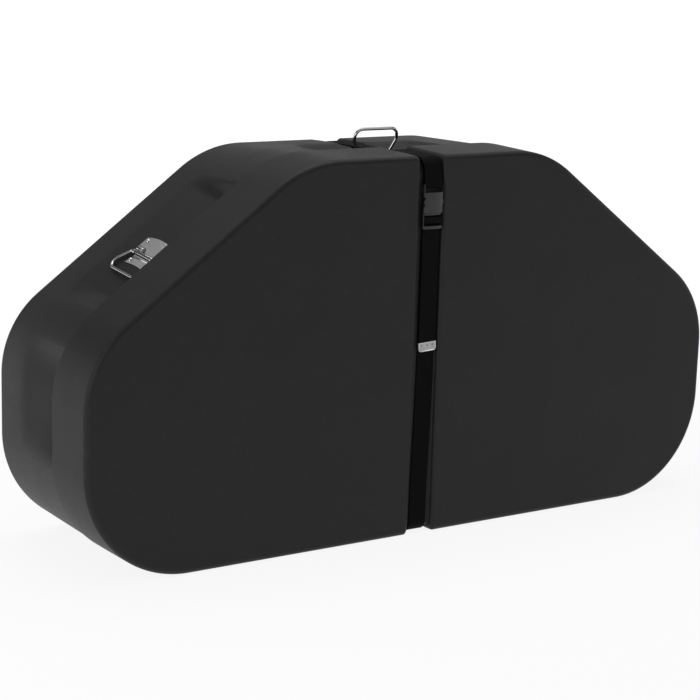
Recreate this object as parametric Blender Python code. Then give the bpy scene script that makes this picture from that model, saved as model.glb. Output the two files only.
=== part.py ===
# Marching drum case: two moulded polyethylene shells, a webbing strap in a channel round them,
# and three wire handles on riveted plates.
# X is to the right, Y runs from the lid at the front to the back, Z is up. The origin is on the
# floor, under the middle of the case.
import bmesh
import bpy
from math import atan2, cos, hypot, pi, radians, sin, tan
from mathutils import Matrix, Vector

# The case as seen from the front
CASE_WIDTH = 1.282
CASE_HEIGHT = 0.660
END_HEIGHT = 0.3686
TOP_WIDTH = 0.495
BOTTOM_CORNER_RADIUS = 0.186
SIDE_CORNER_RADIUS = 0.173
TOP_CORNER_RADIUS = 0.204

# The shells
CASE_DEPTH = 0.343
LID_DEPTH = 0.1165
WALL = 0.004
EDGE_RADIUS = 0.010
LID_FLARE = 0.003
BASE_TAPER = 0.005
TONGUE_LENGTH = 0.045
TONGUE_CLEARANCE = 0.001
LIP_GAP = 0.0005
STEP_RUN = 0.001

# The pressed-in panels of the base, deepest at the seam
POCKET_TILT = radians(10.5)
POCKET_REACH = 0.140
POCKET_RAMP = 0.034
END_POCKET_RAMP = 0.070
END_POCKET_DROP = 0.020
END_POCKET_RISE = 0.094
SLOPE_POCKET_MARGIN = 0.005
TOP_POCKET_HALF = 0.135

# The strap's channel
CHANNEL_WIDTH = 0.043
CHANNEL_DEPTH = 0.0095
CHANNEL_CORNER_RADIUS = 0.030
CHANNEL_FOOT_RADIUS = 0.003
CHANNEL_RIM_RADIUS = 0.0065
CHANNEL_RIM_LIFT = 0.0008
RIM_OVERLAP = 0.0001

# The webbing
WEBBING_WIDTH = 0.0355
WEBBING_THICKNESS = 0.0018
WEBBING_OFFSET = 0.0035
FIT = 0.0003
TAIL_LENGTH = 0.211
TAIL_SPACING = 0.0008
TIP_LENGTH = 0.0155
TIP_THICKNESS = 0.0034
TIP_CORNER_RADIUS = 0.005
TIP_OVERHANG = 0.0002
SOCKET_BEND = 0.002
RIM_BEND = 0.0015
SEWN_LENGTH = 0.022

# The side-release buckle
BUCKLE_WIDTH = 0.0405
BUCKLE_THICKNESS = 0.011
BUCKLE_ROUNDING = 0.003
BUCKLE_DROP = 0.0475
BUCKLE_BAR = 0.004
BUCKLE_SLOT = 0.010
SLOT_CLEARANCE = 0.0006
SOCKET_BODY_LENGTH = 0.035
SOCKET_WALL = 0.0020
SOCKET_SIDE_WALL = 0.0022
WINDOW_LENGTH = 0.017
WINDOW_DEPTH = 0.0045
WINDOW_LIFT = 0.002
PLUG_GAP = 0.0005
PLUG_LENGTH = 0.0265
CROSSBAR_RECESS = 0.003
GUIDE_WIDTH = 0.008
GUIDE_LENGTH = 0.0245
GUIDE_CLEARANCE = 0.001
LADDER_SLOT = 0.0045
LADDER_BAR = 0.0085
LADDER_BAR_THICKNESS = 0.0030
LADDER_RIM = 0.0055
PRONG_WIDTH = 0.0042
PRONG_THICKNESS = 0.0052
PRONG_LENGTH = 0.028
PRONG_BARB = 0.0018
PRONG_BARB_LENGTH = 0.007
PRONG_CLEARANCE = 0.0004
PRONG_CHAMFER = 0.0010

# The wire handles
HANDLE_SETBACK = 0.066
SIDE_HANDLE_ALONG = 0.2283
BAIL_WIRE_RADIUS = 0.0028
BAIL_FOOT_WIDTH = 0.066
BAIL_SHOULDER_WIDTH = 0.088
BAIL_LENGTH = 0.0445
BAIL_CORNER_RADIUS = 0.0145
BAIL_FOOT_RADIUS = 0.005
BAIL_SHOULDER_RADIUS = 0.010
LEG_CLEARANCE = 0.001
BAIL_SHOULDER_DROP = 0.020
TOP_BAIL_LEAN = radians(15)
SIDE_BAIL_REST = radians(2.5)
PLATE_THICKNESS = 0.0014
BARREL_LENGTH = 0.054
BARREL_CLEARANCE = 0.0005
UPPER_WING_LENGTH = 0.0415
UPPER_WING_WIDTH = 0.068
UPPER_WING_CROWN = 0.006
LOWER_WING_LENGTH = 0.0215
LOWER_WING_WIDTH = 0.056
LOWER_WING_WAIST = 0.039
LOWER_WING_HOLLOW = 0.003
RIVET_INSET = 0.006
RIVET_HEAD_RADIUS = 0.0042
RIVET_HEAD_HEIGHT = 0.0018
RIVET_DOME = (radians(35), radians(65))
RIVET_SHANK_RADIUS = 0.0020
RIVET_SET_RADIUS = 0.0032
RIVET_SET_HEIGHT = 0.0012
WASHER_RADIUS = 0.0065
WASHER_THICKNESS = 0.0012

# The foam inside
FOAM_THICKNESS = 0.015
FOAM_MARGIN = 0.004

# Smoothness
ARC_STEP = radians(9)
CORNER_STEP = radians(18)
EDGE_STEPS = 3
POCKET_STEPS = 3
ROUND_STEPS = 4
WIRE_SIDES = 8
RIVET_SIDES = 8
ARCH_STEPS = 8
WINDOW_STEPS = 12
WING_STEPS = 6
# How far a cutter reaches past what it cuts, and how little it overlaps the next cutter
OVERCUT = 0.010
OVERLAP = 0.001

FRONT_Y = -CASE_DEPTH / 2
BACK_Y = CASE_DEPTH / 2
SEAM_Y = FRONT_Y + LID_DEPTH
TONGUE_Y = SEAM_Y - TONGUE_LENGTH
POCKET_BACK_Y = SEAM_Y + POCKET_REACH
HANDLE_Y = SEAM_Y + HANDLE_SETBACK
BUCKLE_TOP_Z = CASE_HEIGHT - BUCKLE_DROP
SLOPE_ANGLE = atan2(CASE_HEIGHT - END_HEIGHT, (CASE_WIDTH - TOP_WIDTH) / 2)


class Track:
    """An open line of straights and rounded corners in a plane, measured by distance along it."""

    def __init__(self, corners, radii):
        corners = [Vector(corner) for corner in corners]
        self.runs = []
        start = corners[0]
        for i in range(1, len(corners) - 1):
            into = (corners[i] - corners[i - 1]).normalized()
            out = (corners[i + 1] - corners[i]).normalized()
            turn = into.angle_signed(out) * -1
            reach = radii[i - 1] * tan(abs(turn) / 2)
            arc_start = corners[i] - into * reach
            self.runs.append(("line", start, arc_start, (arc_start - start).length))
            side = Vector((-into.y, into.x)) * (1 if turn > 0 else -1)
            centre = arc_start + side * radii[i - 1]
            self.runs.append(("arc", centre, arc_start - centre, radii[i - 1] * abs(turn), turn))
            start = corners[i] + out * reach
        self.runs.append(("line", start, corners[-1], (corners[-1] - start).length))
        self.starts = [sum(run[3] for run in self.runs[:i]) for i in range(len(self.runs))]
        self.length = sum(run[3] for run in self.runs)

    def at(self, distance):
        """The point, and the normal to the right of the direction of travel."""
        index = max(i for i, start in enumerate(self.starts) if start <= distance + 1e-9)
        run = self.runs[index]
        along = distance - self.starts[index]
        if run[0] == "line":
            direction = (run[2] - run[1]).normalized()
            return run[1] + direction * along, Vector((direction.y, -direction.x))
        turned = run[4] * along / run[3]
        spoke = rotated(run[2], turned)
        normal = spoke.normalized() if run[4] > 0 else -spoke.normalized()
        return run[1] + spoke, normal

    def samples(self, step, extra=()):
        """Distances of the ends, the bends' steps and any further marks."""
        marks = {0.0, self.length, *extra}
        for start, run in zip(self.starts, self.runs):
            marks.add(start)
            if run[0] == "arc":
                count = max(2, round(abs(run[4]) / step))
                marks.update(start + run[3] * k / count for k in range(1, count))
        ordered = []
        for mark in sorted(marks):
            if not ordered or mark - ordered[-1] > 1e-6:
                ordered.append(mark)
        return ordered


def rotated(vector, angle):
    x = vector.x * cos(angle) - vector.y * sin(angle)
    y = vector.x * sin(angle) + vector.y * cos(angle)
    return Vector((x, y))


def material(name, colour, roughness, metallic=0.0):
    made = bpy.data.materials.new(name)
    made.use_nodes = True
    shader = made.node_tree.nodes["Principled BSDF"]
    shader.inputs["Base Color"].default_value = (*colour, 1.0)
    shader.inputs["Roughness"].default_value = roughness
    shader.inputs["Metallic"].default_value = metallic
    return made


def add_object(name, bm, finish=None, cutter=False):
    bmesh.ops.recalc_face_normals(bm, faces=bm.faces)
    mesh = bpy.data.meshes.new(name)
    bm.to_mesh(mesh)
    bm.free()
    made = bpy.data.objects.new(name, mesh)
    bpy.context.scene.collection.objects.link(made)
    if finish:
        mesh.materials.append(finish)
    if cutter:
        made.hide_render = True
        made.display_type = "WIRE"
    else:
        mesh.shade_smooth()
        mesh.set_sharp_from_angle(angle=radians(30))
    return made


def loft(name, rings, finish=None, cutter=False):
    """Skin rings of equal count from one end to the other, and close both ends."""
    bm = bmesh.new()
    skin(bm, rings)
    return add_object(name, bm, finish, cutter)


def skin(bm, rings):
    loops = [[bm.verts.new(point) for point in ring] for ring in rings]
    for near, far in zip(loops, loops[1:]):
        for i in range(len(near)):
            following = (i + 1) % len(near)
            corners = (near[i], near[following], far[following], far[i])
            if is_flat(corners):
                bm.faces.new(corners)
            else:
                # A twisted patch splits the same way on a shell's outside and inside
                bm.faces.new((corners[0], corners[1], corners[2]))
                bm.faces.new((corners[2], corners[3], corners[0]))
    bm.faces.new(loops[0])
    bm.faces.new(list(reversed(loops[-1])))


def is_flat(corners):
    a, b, c, d = (vert.co for vert in corners)
    across = (c - a).cross(d - b)
    return across.length < 1e-12 or abs((b - a).dot(across.normalized())) < 1e-6


def prism(bm, outline, frame, low, high):
    """A solid of a flat outline, between two heights over the frame's plane."""
    skin(bm, [[frame @ Vector((x, y, height)) for x, y in outline] for height in (low, high)])


def cut(target, cutter, operation="DIFFERENCE"):
    """A Boolean with a cutter, whose own bodies may overlap."""
    modifier = target.modifiers.new(cutter.name, "BOOLEAN")
    modifier.operation = operation
    modifier.solver = "EXACT"
    modifier.use_self = True
    modifier.object = cutter


# The case's outline

def case_track():
    """Half of the outline, from the middle of the bottom round the right end to the middle of the top."""
    corners = [(0, 0), (CASE_WIDTH / 2, 0), (CASE_WIDTH / 2, END_HEIGHT), (TOP_WIDTH / 2, CASE_HEIGHT),
               (0, CASE_HEIGHT)]
    return Track(corners, [BOTTOM_CORNER_RADIUS, SIDE_CORNER_RADIUS, TOP_CORNER_RADIUS])


OUTLINE = case_track()
BOTTOM_ARC, END_LINE, SIDE_ARC, SLOPE_LINE, TOP_ARC = (OUTLINE.starts[i] for i in range(1, 6))
# Each pocket: where it starts and ends along the outline, and the length of each end's ramp
POCKETS = [
    (END_LINE - END_POCKET_DROP, SIDE_ARC + END_POCKET_RISE, END_POCKET_RAMP, POCKET_RAMP),
    (SLOPE_LINE + SLOPE_POCKET_MARGIN, TOP_ARC - SLOPE_POCKET_MARGIN, POCKET_RAMP, POCKET_RAMP),
    (OUTLINE.length - TOP_POCKET_HALF, OUTLINE.length + TOP_POCKET_HALF, POCKET_RAMP, POCKET_RAMP),
]


def pocket_share(distance):
    """How much of a pocket's depth the outline has here: 0 outside the pockets, 1 on their floors."""
    share = 0.0
    for start, end, start_ramp, end_ramp in POCKETS:
        inside = min((distance - start) / start_ramp, (end - distance) / end_ramp, 1.0)
        share = max(share, sin(max(inside, 0.0) * pi / 2))
    return share


def bottom_share(distance):
    """1 on the flat bottom, falling to 0 round the bottom corner."""
    return min(1.0, max(0.0, (END_LINE - distance) / (END_LINE - BOTTOM_ARC)))


def pocket_marks():
    """Distances along the outline where the pockets' ramps need a point."""
    marks = set()
    for start, end, start_ramp, end_ramp in POCKETS:
        for share in (0.0, 0.35, 0.7, 1.0):
            marks.add(start + start_ramp * share)
            marks.add(end - end_ramp * share)
    return {mark for mark in marks if 0 < mark < OUTLINE.length}


def case_ring(y, side, bottom, pocket=0.0, marks=()):
    """The outline at y, moved inwards by side, by bottom under the case, and by pocket in the pockets."""
    half = []
    for distance in OUTLINE.samples(ARC_STEP, marks):
        point, normal = OUTLINE.at(distance)
        inward = side + (bottom - side) * bottom_share(distance) + pocket * pocket_share(distance)
        place = point - normal * inward
        half.append((place.x, y, place.y))
    return half + [(-x, y, z) for x, y, z in reversed(half[1:-1])]


def lid_inset(y):
    """The lid's outside flares from its front edge to its lip."""
    return -LID_FLARE * (y - FRONT_Y) / LID_DEPTH


def base_inset(y):
    """The base's outside starts at the tongue's size behind the seam and tapers to the back."""
    at_seam = lid_inset(SEAM_Y) + WALL + TONGUE_CLEARANCE
    return at_seam + BASE_TAPER * (y - SEAM_Y) / (BACK_Y - SEAM_Y)


def pocket_depth(y):
    """How deep the pockets' floors lie under the base's outside at y."""
    floor = base_inset(POCKET_BACK_Y) + tan(POCKET_TILT) * (POCKET_BACK_Y - y)
    return floor - base_inset(y)


# The strap's channel, as a path in the plane of Y and Z

def channel_track(outward=0.0):
    """The channel's floor round the case, moved outwards, as a loop from the middle of the back."""
    front = FRONT_Y + CHANNEL_DEPTH - outward
    back = BACK_Y - CHANNEL_DEPTH + outward
    low = CHANNEL_DEPTH - outward
    high = CASE_HEIGHT - CHANNEL_DEPTH + outward
    middle = CASE_HEIGHT / 2
    corners = [(back, middle), (back, high), (front, high), (front, low), (back, low), (back, middle)]
    return Track(corners, [CHANNEL_CORNER_RADIUS + outward] * 4)


def outside(y, z, inset):
    """Whether a point in the middle plane is out of a shell whose top is inset as given."""
    top = CASE_HEIGHT - inset(y)
    over_y = abs(y) - (BACK_Y - EDGE_RADIUS)
    over_z = max(z - (top - EDGE_RADIUS), EDGE_RADIUS - z)
    if over_y > 0 and over_z > 0:
        return hypot(over_y, over_z) > EDGE_RADIUS
    return over_y > EDGE_RADIUS or over_z > EDGE_RADIUS


def depth_under_skin(point, normal, inset):
    """Distance from the channel's floor to the shell's outside, found by halving."""
    near, far = 0.0, 0.08
    for _ in range(24):
        middle = (near + far) / 2
        place = point + normal * middle
        if outside(place.x, place.y, inset):
            far = middle
        else:
            near = middle
    return near


def channel_section(depth, grow):
    """Half of the channel's section as (x, height over the floor), from its floor to above its rim."""
    height = depth + CHANNEL_RIM_LIFT
    foot, rim = CHANNEL_FOOT_RADIUS, CHANNEL_RIM_RADIUS
    squash = min(1.0, height / (foot + rim))
    half = CHANNEL_WIDTH / 2 + grow
    points = []
    for k in range(ROUND_STEPS):
        a = pi / 2 * k / (ROUND_STEPS - 1)
        points.append((half + foot * sin(a), foot * squash * (1 - cos(a))))
    for k in range(ROUND_STEPS):
        a = pi / 2 * k / (ROUND_STEPS - 1)
        points.append((half + foot + rim * (1 - cos(a)), height - rim * squash * (1 - sin(a)) + RIM_OVERLAP))
    points.append((half + foot + rim, height + 2 * OVERCUT))
    return points


def channel_ring(point, normal, depth, grow):
    ring = []
    section = channel_section(depth, grow)
    for x, height in section + [(-x, height) for x, height in reversed(section)]:
        place = point + normal * (height - grow)
        ring.append((x, place.x, place.y))
    return ring


def channel_loop(name, grow, inset):
    """A cutter for the channel all round the case, or for the wall behind it when grown."""
    track = channel_track()
    bm = bmesh.new()
    rings = []
    for distance in track.samples(CORNER_STEP)[:-1]:
        point, normal = track.at(distance)
        rings.append(channel_ring(point, normal, depth_under_skin(point, normal, inset), grow))
    join_round(bm, [[bm.verts.new(place) for place in ring] for ring in rings])
    return add_object(name, bm, cutter=True)


def channel_bars(name, grow, y_from, y_to):
    """Straight cutters for the channel's deeper bed along the tongue, over and under the case."""
    bm = bmesh.new()
    for level, up in ((CASE_HEIGHT - CHANNEL_DEPTH, 1), (CHANNEL_DEPTH, -1)):
        rings = []
        for y in (y_from, y_to):
            depth = CHANNEL_DEPTH - (lid_inset(y) if up > 0 else 0.0)
            rings.append(channel_ring(Vector((y, level)), Vector((0, up)), depth, grow))
        skin(bm, rings)
    return add_object(name, bm, cutter=True)


# The shells

def pocket_rows(y_from):
    """Where the pockets' floors have a ring, from their deep end to their back."""
    return [y_from + (POCKET_BACK_Y - y_from) * k / POCKET_STEPS for k in range(POCKET_STEPS + 1)]


def rounding(y_end, direction, inset, radius, bottom, marks=()):
    """Rings of a rounded edge that ends at y_end, from its start on the side to its end on the face."""
    rings = []
    for k in range(EDGE_STEPS + 1):
        a = pi / 2 * k / EDGE_STEPS
        y = y_end - direction * radius * (1 - sin(a))
        inward = radius * (1 - cos(a))
        rings.append(case_ring(y, inset(y) + inward, bottom + inward, 0.0, marks))
    return rings


def make_base(plastic):
    marks = pocket_marks()
    tongue = WALL + TONGUE_CLEARANCE
    body_y = SEAM_Y + STEP_RUN
    rings = [case_ring(y, lid_inset(y) + tongue, tongue, 0.0, marks) for y in (TONGUE_Y, SEAM_Y)]
    rings += [case_ring(y, base_inset(y), 0.0, pocket_depth(y), marks) for y in pocket_rows(body_y)]
    rings += rounding(BACK_Y, 1, base_inset, EDGE_RADIUS, 0.0, marks)
    base = loft("base_shell", rings, plastic)

    inner = tongue + WALL
    mouth_y = TONGUE_Y - OVERCUT
    wall_y = SEAM_Y - WALL
    rings = [case_ring(y, lid_inset(y) + inner, inner, 0.0, marks) for y in (mouth_y, wall_y)]
    step_y = wall_y + STEP_RUN
    rings.append(case_ring(step_y, lid_inset(step_y) + inner, inner, pocket_depth(step_y), marks))
    floor_y = SEAM_Y + WALL
    rings.append(case_ring(floor_y, base_inset(floor_y) + WALL, inner, pocket_depth(floor_y), marks))
    floor_y += STEP_RUN
    rings += [case_ring(y, base_inset(y) + WALL, WALL, pocket_depth(y), marks) for y in pocket_rows(floor_y)]
    rings += rounding(BACK_Y - WALL, 1, lambda y: base_inset(y) + WALL, EDGE_RADIUS - WALL, WALL, marks)
    cavity = loft("base_cavity_cutter", rings, cutter=True)
    cut(cavity, channel_loop("base_channel_wall_cutter", WALL, base_inset))
    cut(cavity, channel_bars("base_tongue_wall_cutter", inner, mouth_y - OVERCUT, SEAM_Y + WALL))
    cut(base, channel_loop("base_channel_cutter", 0.0, base_inset))
    cut(base, channel_bars("base_tongue_bed_cutter", tongue, TONGUE_Y - OVERCUT, SEAM_Y + STEP_RUN / 2))
    cut(base, cavity)
    return base


def make_lid(plastic):
    lip_y = SEAM_Y - LIP_GAP
    rings = rounding(FRONT_Y, -1, lid_inset, EDGE_RADIUS, 0.0)[::-1]
    rings.append(case_ring(lip_y, lid_inset(lip_y), 0.0))
    lid = loft("lid_shell", rings, plastic)
    rings = rounding(FRONT_Y + WALL, -1, lambda y: lid_inset(y) + WALL, EDGE_RADIUS - WALL, WALL)[::-1]
    mouth_y = lip_y + OVERCUT
    rings.append(case_ring(mouth_y, lid_inset(mouth_y) + WALL, WALL))
    cavity = loft("lid_cavity_cutter", rings, cutter=True)
    cut(cavity, channel_loop("lid_channel_wall_cutter", WALL, lid_inset))
    cut(lid, channel_loop("lid_channel_cutter", 0.0, lid_inset))
    cut(lid, cavity)
    return lid


def make_foam(name, foam, wall_y, inward, inset):
    """A pad against a shell's flat wall, grooved over the channel's bed."""
    start_y = wall_y + inward * FIT
    end_y = start_y + inward * FOAM_THICKNESS
    rings = []
    for y in (start_y, end_y):
        rings.append(case_ring(y, inset(y) + WALL + FOAM_MARGIN + EDGE_RADIUS - WALL,
                               2 * WALL + TONGUE_CLEARANCE + FOAM_MARGIN))
    pad = loft(name, rings, foam)
    bm = bmesh.new()
    half = CHANNEL_WIDTH / 2 + WALL + CHANNEL_FOOT_RADIUS + CHANNEL_RIM_RADIUS + FOAM_MARGIN
    behind = wall_y - inward * OVERCUT
    groove_y = start_y + inward * CHANNEL_DEPTH
    box(bm, Vector((-half, behind, -OVERCUT)), Vector((half, groove_y, CASE_HEIGHT + OVERCUT)))
    # Over and under the case the channel turns inwards, and takes a notch out of the pad's edge
    notch_y = end_y + inward * OVERCUT
    high, low = CASE_HEIGHT + 2 * OVERCUT, -2 * OVERCUT
    box(bm, Vector((-half, behind, CASE_HEIGHT - channel_bed())), Vector((half, notch_y, high)))
    box(bm, Vector((-half, behind, low)), Vector((half, notch_y, channel_bed())))
    cut(pad, add_object(name + "_groove_cutter", bm, cutter=True))
    return pad


def channel_bed():
    """How far in from the outline the channel has turned its corner, with the foam's margin."""
    return CHANNEL_DEPTH + CHANNEL_CORNER_RADIUS + FOAM_MARGIN


# The webbing

def webbing(name, finish, track, extra=()):
    """Flat webbing along a track in the plane of Y and Z."""
    rings = []
    for distance in track.samples(CORNER_STEP, extra):
        point, normal = track.at(distance)
        ring = []
        for x, height in ((-1, -1), (1, -1), (1, 1), (-1, 1)):
            place = point + normal * (height * WEBBING_THICKNESS / 2)
            ring.append((WEBBING_OFFSET + x * WEBBING_WIDTH / 2, place.x, place.y))
        rings.append(ring)
    return loft(name, rings, finish)


LIFT = FIT + WEBBING_THICKNESS / 2
STRAP_FRONT_Y = FRONT_Y + CHANNEL_DEPTH - LIFT
STRAP_BACK_Y = BACK_Y - CHANNEL_DEPTH + LIFT
STRAP_TOP_Z = CASE_HEIGHT - CHANNEL_DEPTH + LIFT
STRAP_LOW_Z = CHANNEL_DEPTH - LIFT
STRAP_BEND = CHANNEL_CORNER_RADIUS + LIFT

# The buckle's heights, from its top bar down
SOCKET_BODY_TOP_Z = BUCKLE_TOP_Z - BUCKLE_BAR - BUCKLE_SLOT
SOCKET_LOW_Z = SOCKET_BODY_TOP_Z - SOCKET_BODY_LENGTH
PLUG_TOP_Z = SOCKET_LOW_Z - PLUG_GAP
PLUG_LOW_Z = PLUG_TOP_Z - PLUG_LENGTH
RIM_TOP_Z = PLUG_LOW_Z + LADDER_RIM
BAR_LOW_Z = RIM_TOP_Z + LADDER_SLOT
BAR_TOP_Z = BAR_LOW_Z + LADDER_BAR
# The buckle's depths: the webbing passes behind it, round its bars and out under its rim
BUCKLE_BACK_Y = STRAP_FRONT_Y - WEBBING_THICKNESS / 2 - FIT
BUCKLE_FRONT_Y = BUCKLE_BACK_Y - BUCKLE_THICKNESS
TAIL_Y = STRAP_FRONT_Y - WEBBING_THICKNESS / 2 - TAIL_SPACING - TIP_THICKNESS / 2
BAR_BACK_Y = BUCKLE_BACK_Y
BAR_FRONT_Y = BAR_BACK_Y - LADDER_BAR_THICKNESS
OVER_BAR_Y = BAR_FRONT_Y - FIT - WEBBING_THICKNESS / 2
TAIL_TOP_Z = PLUG_LOW_Z - 2 * FIT
RIM_BACK_Y = TAIL_Y - WEBBING_THICKNESS / 2 - FIT


def make_webbing(finish):
    lip = SEAM_Y + FIT / 2
    webbing("strap_base", finish, Track(
        [(lip, STRAP_LOW_Z), (STRAP_BACK_Y, STRAP_LOW_Z), (STRAP_BACK_Y, STRAP_TOP_Z), (lip, STRAP_TOP_Z)],
        [STRAP_BEND] * 2))
    lip = SEAM_Y - FIT / 2
    # The upper length goes round the socket's bar and is sewn to itself behind it
    bar_turn = (STRAP_FRONT_Y - SOCKET_WRAP_Y) / 2
    wrap_low = BUCKLE_TOP_Z - BUCKLE_BAR - bar_turn
    webbing("strap_lid_upper", finish, Track(
        [(lip, STRAP_TOP_Z), (STRAP_FRONT_Y, STRAP_TOP_Z), (SOCKET_WRAP_Y, BUCKLE_TOP_Z + SOCKET_BEND),
         (SOCKET_WRAP_Y, wrap_low), (STRAP_FRONT_Y, wrap_low), (STRAP_FRONT_Y, SOCKET_SEAM_Z)],
        [STRAP_BEND, SOCKET_BEND, bar_turn, bar_turn]))
    # The lower length goes up behind the plug, over the ladder's bar and down behind its rim
    turn = (STRAP_FRONT_Y - OVER_BAR_Y) / 2
    loop_top = BAR_TOP_Z + turn
    webbing("strap_lid_lower", finish, Track(
        [(lip, STRAP_LOW_Z), (STRAP_FRONT_Y, STRAP_LOW_Z), (STRAP_FRONT_Y, loop_top), (OVER_BAR_Y, loop_top),
         (OVER_BAR_Y, BAR_LOW_Z), (TAIL_Y, RIM_TOP_Z + RIM_BEND / 2), (TAIL_Y, PLUG_LOW_Z)],
        [STRAP_BEND, turn, turn, RIM_BEND, RIM_BEND]))
    tip_top = TAIL_TOP_Z - TAIL_LENGTH + TIP_LENGTH
    tail = webbing("strap_tail", finish, Track([(TAIL_Y, TAIL_TOP_Z), (TAIL_Y, tip_top + FIT)], []))
    set_origin(tail, Vector((WEBBING_OFFSET, TAIL_Y, TAIL_TOP_Z - WEBBING_THICKNESS / 2)))
    return tip_top


# The upper length's front and sewn end, in front of and behind the socket's bar
SOCKET_BAR_BACK_Y = BUCKLE_BACK_Y
SOCKET_BAR_FRONT_Y = SOCKET_BAR_BACK_Y - BUCKLE_BAR
SOCKET_WRAP_Y = SOCKET_BAR_FRONT_Y - FIT - WEBBING_THICKNESS / 2
SOCKET_SEAM_Z = BUCKLE_TOP_Z + SEWN_LENGTH


def make_tip(steel, tip_top):
    """A folded steel cap on the tail's end, with rounded lower corners."""
    bm = bmesh.new()
    half = WEBBING_WIDTH / 2 + TIP_OVERHANG
    radius = TIP_CORNER_RADIUS
    outline = [(-half, TIP_LENGTH), (-half, radius)]
    for k in range(1, ROUND_STEPS):
        a = pi / 2 * k / ROUND_STEPS
        outline.append((-half + radius * (1 - cos(a)), radius * (1 - sin(a))))
    outline += [(-half + radius, 0.0), (half - radius, 0.0)]
    for k in range(1, ROUND_STEPS):
        a = pi / 2 * k / ROUND_STEPS
        outline.append((half - radius * (1 - sin(a)), radius * (1 - cos(a))))
    outline += [(half, radius), (half, TIP_LENGTH)]
    low_end = Matrix.Translation((WEBBING_OFFSET, TAIL_Y, tip_top - TIP_LENGTH))
    prism(bm, outline, low_end @ Matrix.Rotation(pi / 2, 4, "X"), -TIP_THICKNESS / 2, TIP_THICKNESS / 2)
    return add_object("strap_tip", bm, steel)


# The buckle

def rounded_box(bm, low, high):
    """A box between two corners whose edges along Z are rounded."""
    outline = []
    for quarter, (x, y) in enumerate(((high.x, high.y), (low.x, high.y), (low.x, low.y), (high.x, low.y))):
        centre_x = x - BUCKLE_ROUNDING * (1 if x == high.x else -1)
        centre_y = y - BUCKLE_ROUNDING * (1 if y == high.y else -1)
        for k in range(3):
            a = pi / 2 * (quarter + k / 2)
            outline.append((centre_x + BUCKLE_ROUNDING * cos(a), centre_y + BUCKLE_ROUNDING * sin(a)))
    prism(bm, outline, Matrix.Identity(4), low.z, high.z)


def box(bm, low, high):
    outline = [(low.x, low.y), (high.x, low.y), (high.x, high.y), (low.x, high.y)]
    prism(bm, outline, Matrix.Identity(4), low.z, high.z)


def make_socket(plastic):
    half = BUCKLE_WIDTH / 2
    x = WEBBING_OFFSET
    bm = bmesh.new()
    rounded_box(bm, Vector((x - half, BUCKLE_FRONT_Y, SOCKET_LOW_Z)),
                Vector((x + half, BUCKLE_BACK_Y, BUCKLE_TOP_Z)))
    socket = add_object("buckle_socket", bm, plastic)
    bm = bmesh.new()
    inner = half - SOCKET_SIDE_WALL
    # The mouth that the plug's prongs enter, open below
    box(bm, Vector((x - inner, BUCKLE_FRONT_Y + SOCKET_WALL, SOCKET_LOW_Z - OVERCUT)),
        Vector((x + inner, BUCKLE_BACK_Y - SOCKET_WALL, SOCKET_BODY_TOP_Z - SOCKET_WALL)))
    # The slot for the webbing, and the step that leaves a thin bar over it
    slot = WEBBING_WIDTH / 2 + SLOT_CLEARANCE
    front, back = BUCKLE_FRONT_Y - OVERCUT, BUCKLE_BACK_Y + OVERCUT
    bar_low = BUCKLE_TOP_Z - BUCKLE_BAR
    box(bm, Vector((x - slot, front, SOCKET_BODY_TOP_Z)), Vector((x + slot, back, bar_low)))
    box(bm, Vector((x - slot, front, bar_low - OVERLAP)),
        Vector((x + slot, SOCKET_BAR_FRONT_Y, BUCKLE_TOP_Z + OVERCUT)))
    cut(socket, add_object("socket_mouth_cutter", bm, cutter=True))
    # The finger windows at both sides, half round as seen from the front
    bm = bmesh.new()
    middle_z = (SOCKET_BODY_TOP_Z + SOCKET_LOW_Z) / 2 + WINDOW_LIFT
    for side in (-1, 1):
        outline = []
        for k in range(WINDOW_STEPS):
            a = 2 * pi * k / WINDOW_STEPS
            outline.append((x + side * half + WINDOW_DEPTH * cos(a), middle_z + WINDOW_LENGTH / 2 * sin(a)))
        prism(bm, outline, Matrix.Rotation(pi / 2, 4, "X"), -back, -front)
    cut(socket, add_object("socket_window_cutter", bm, cutter=True))
    return middle_z


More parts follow.
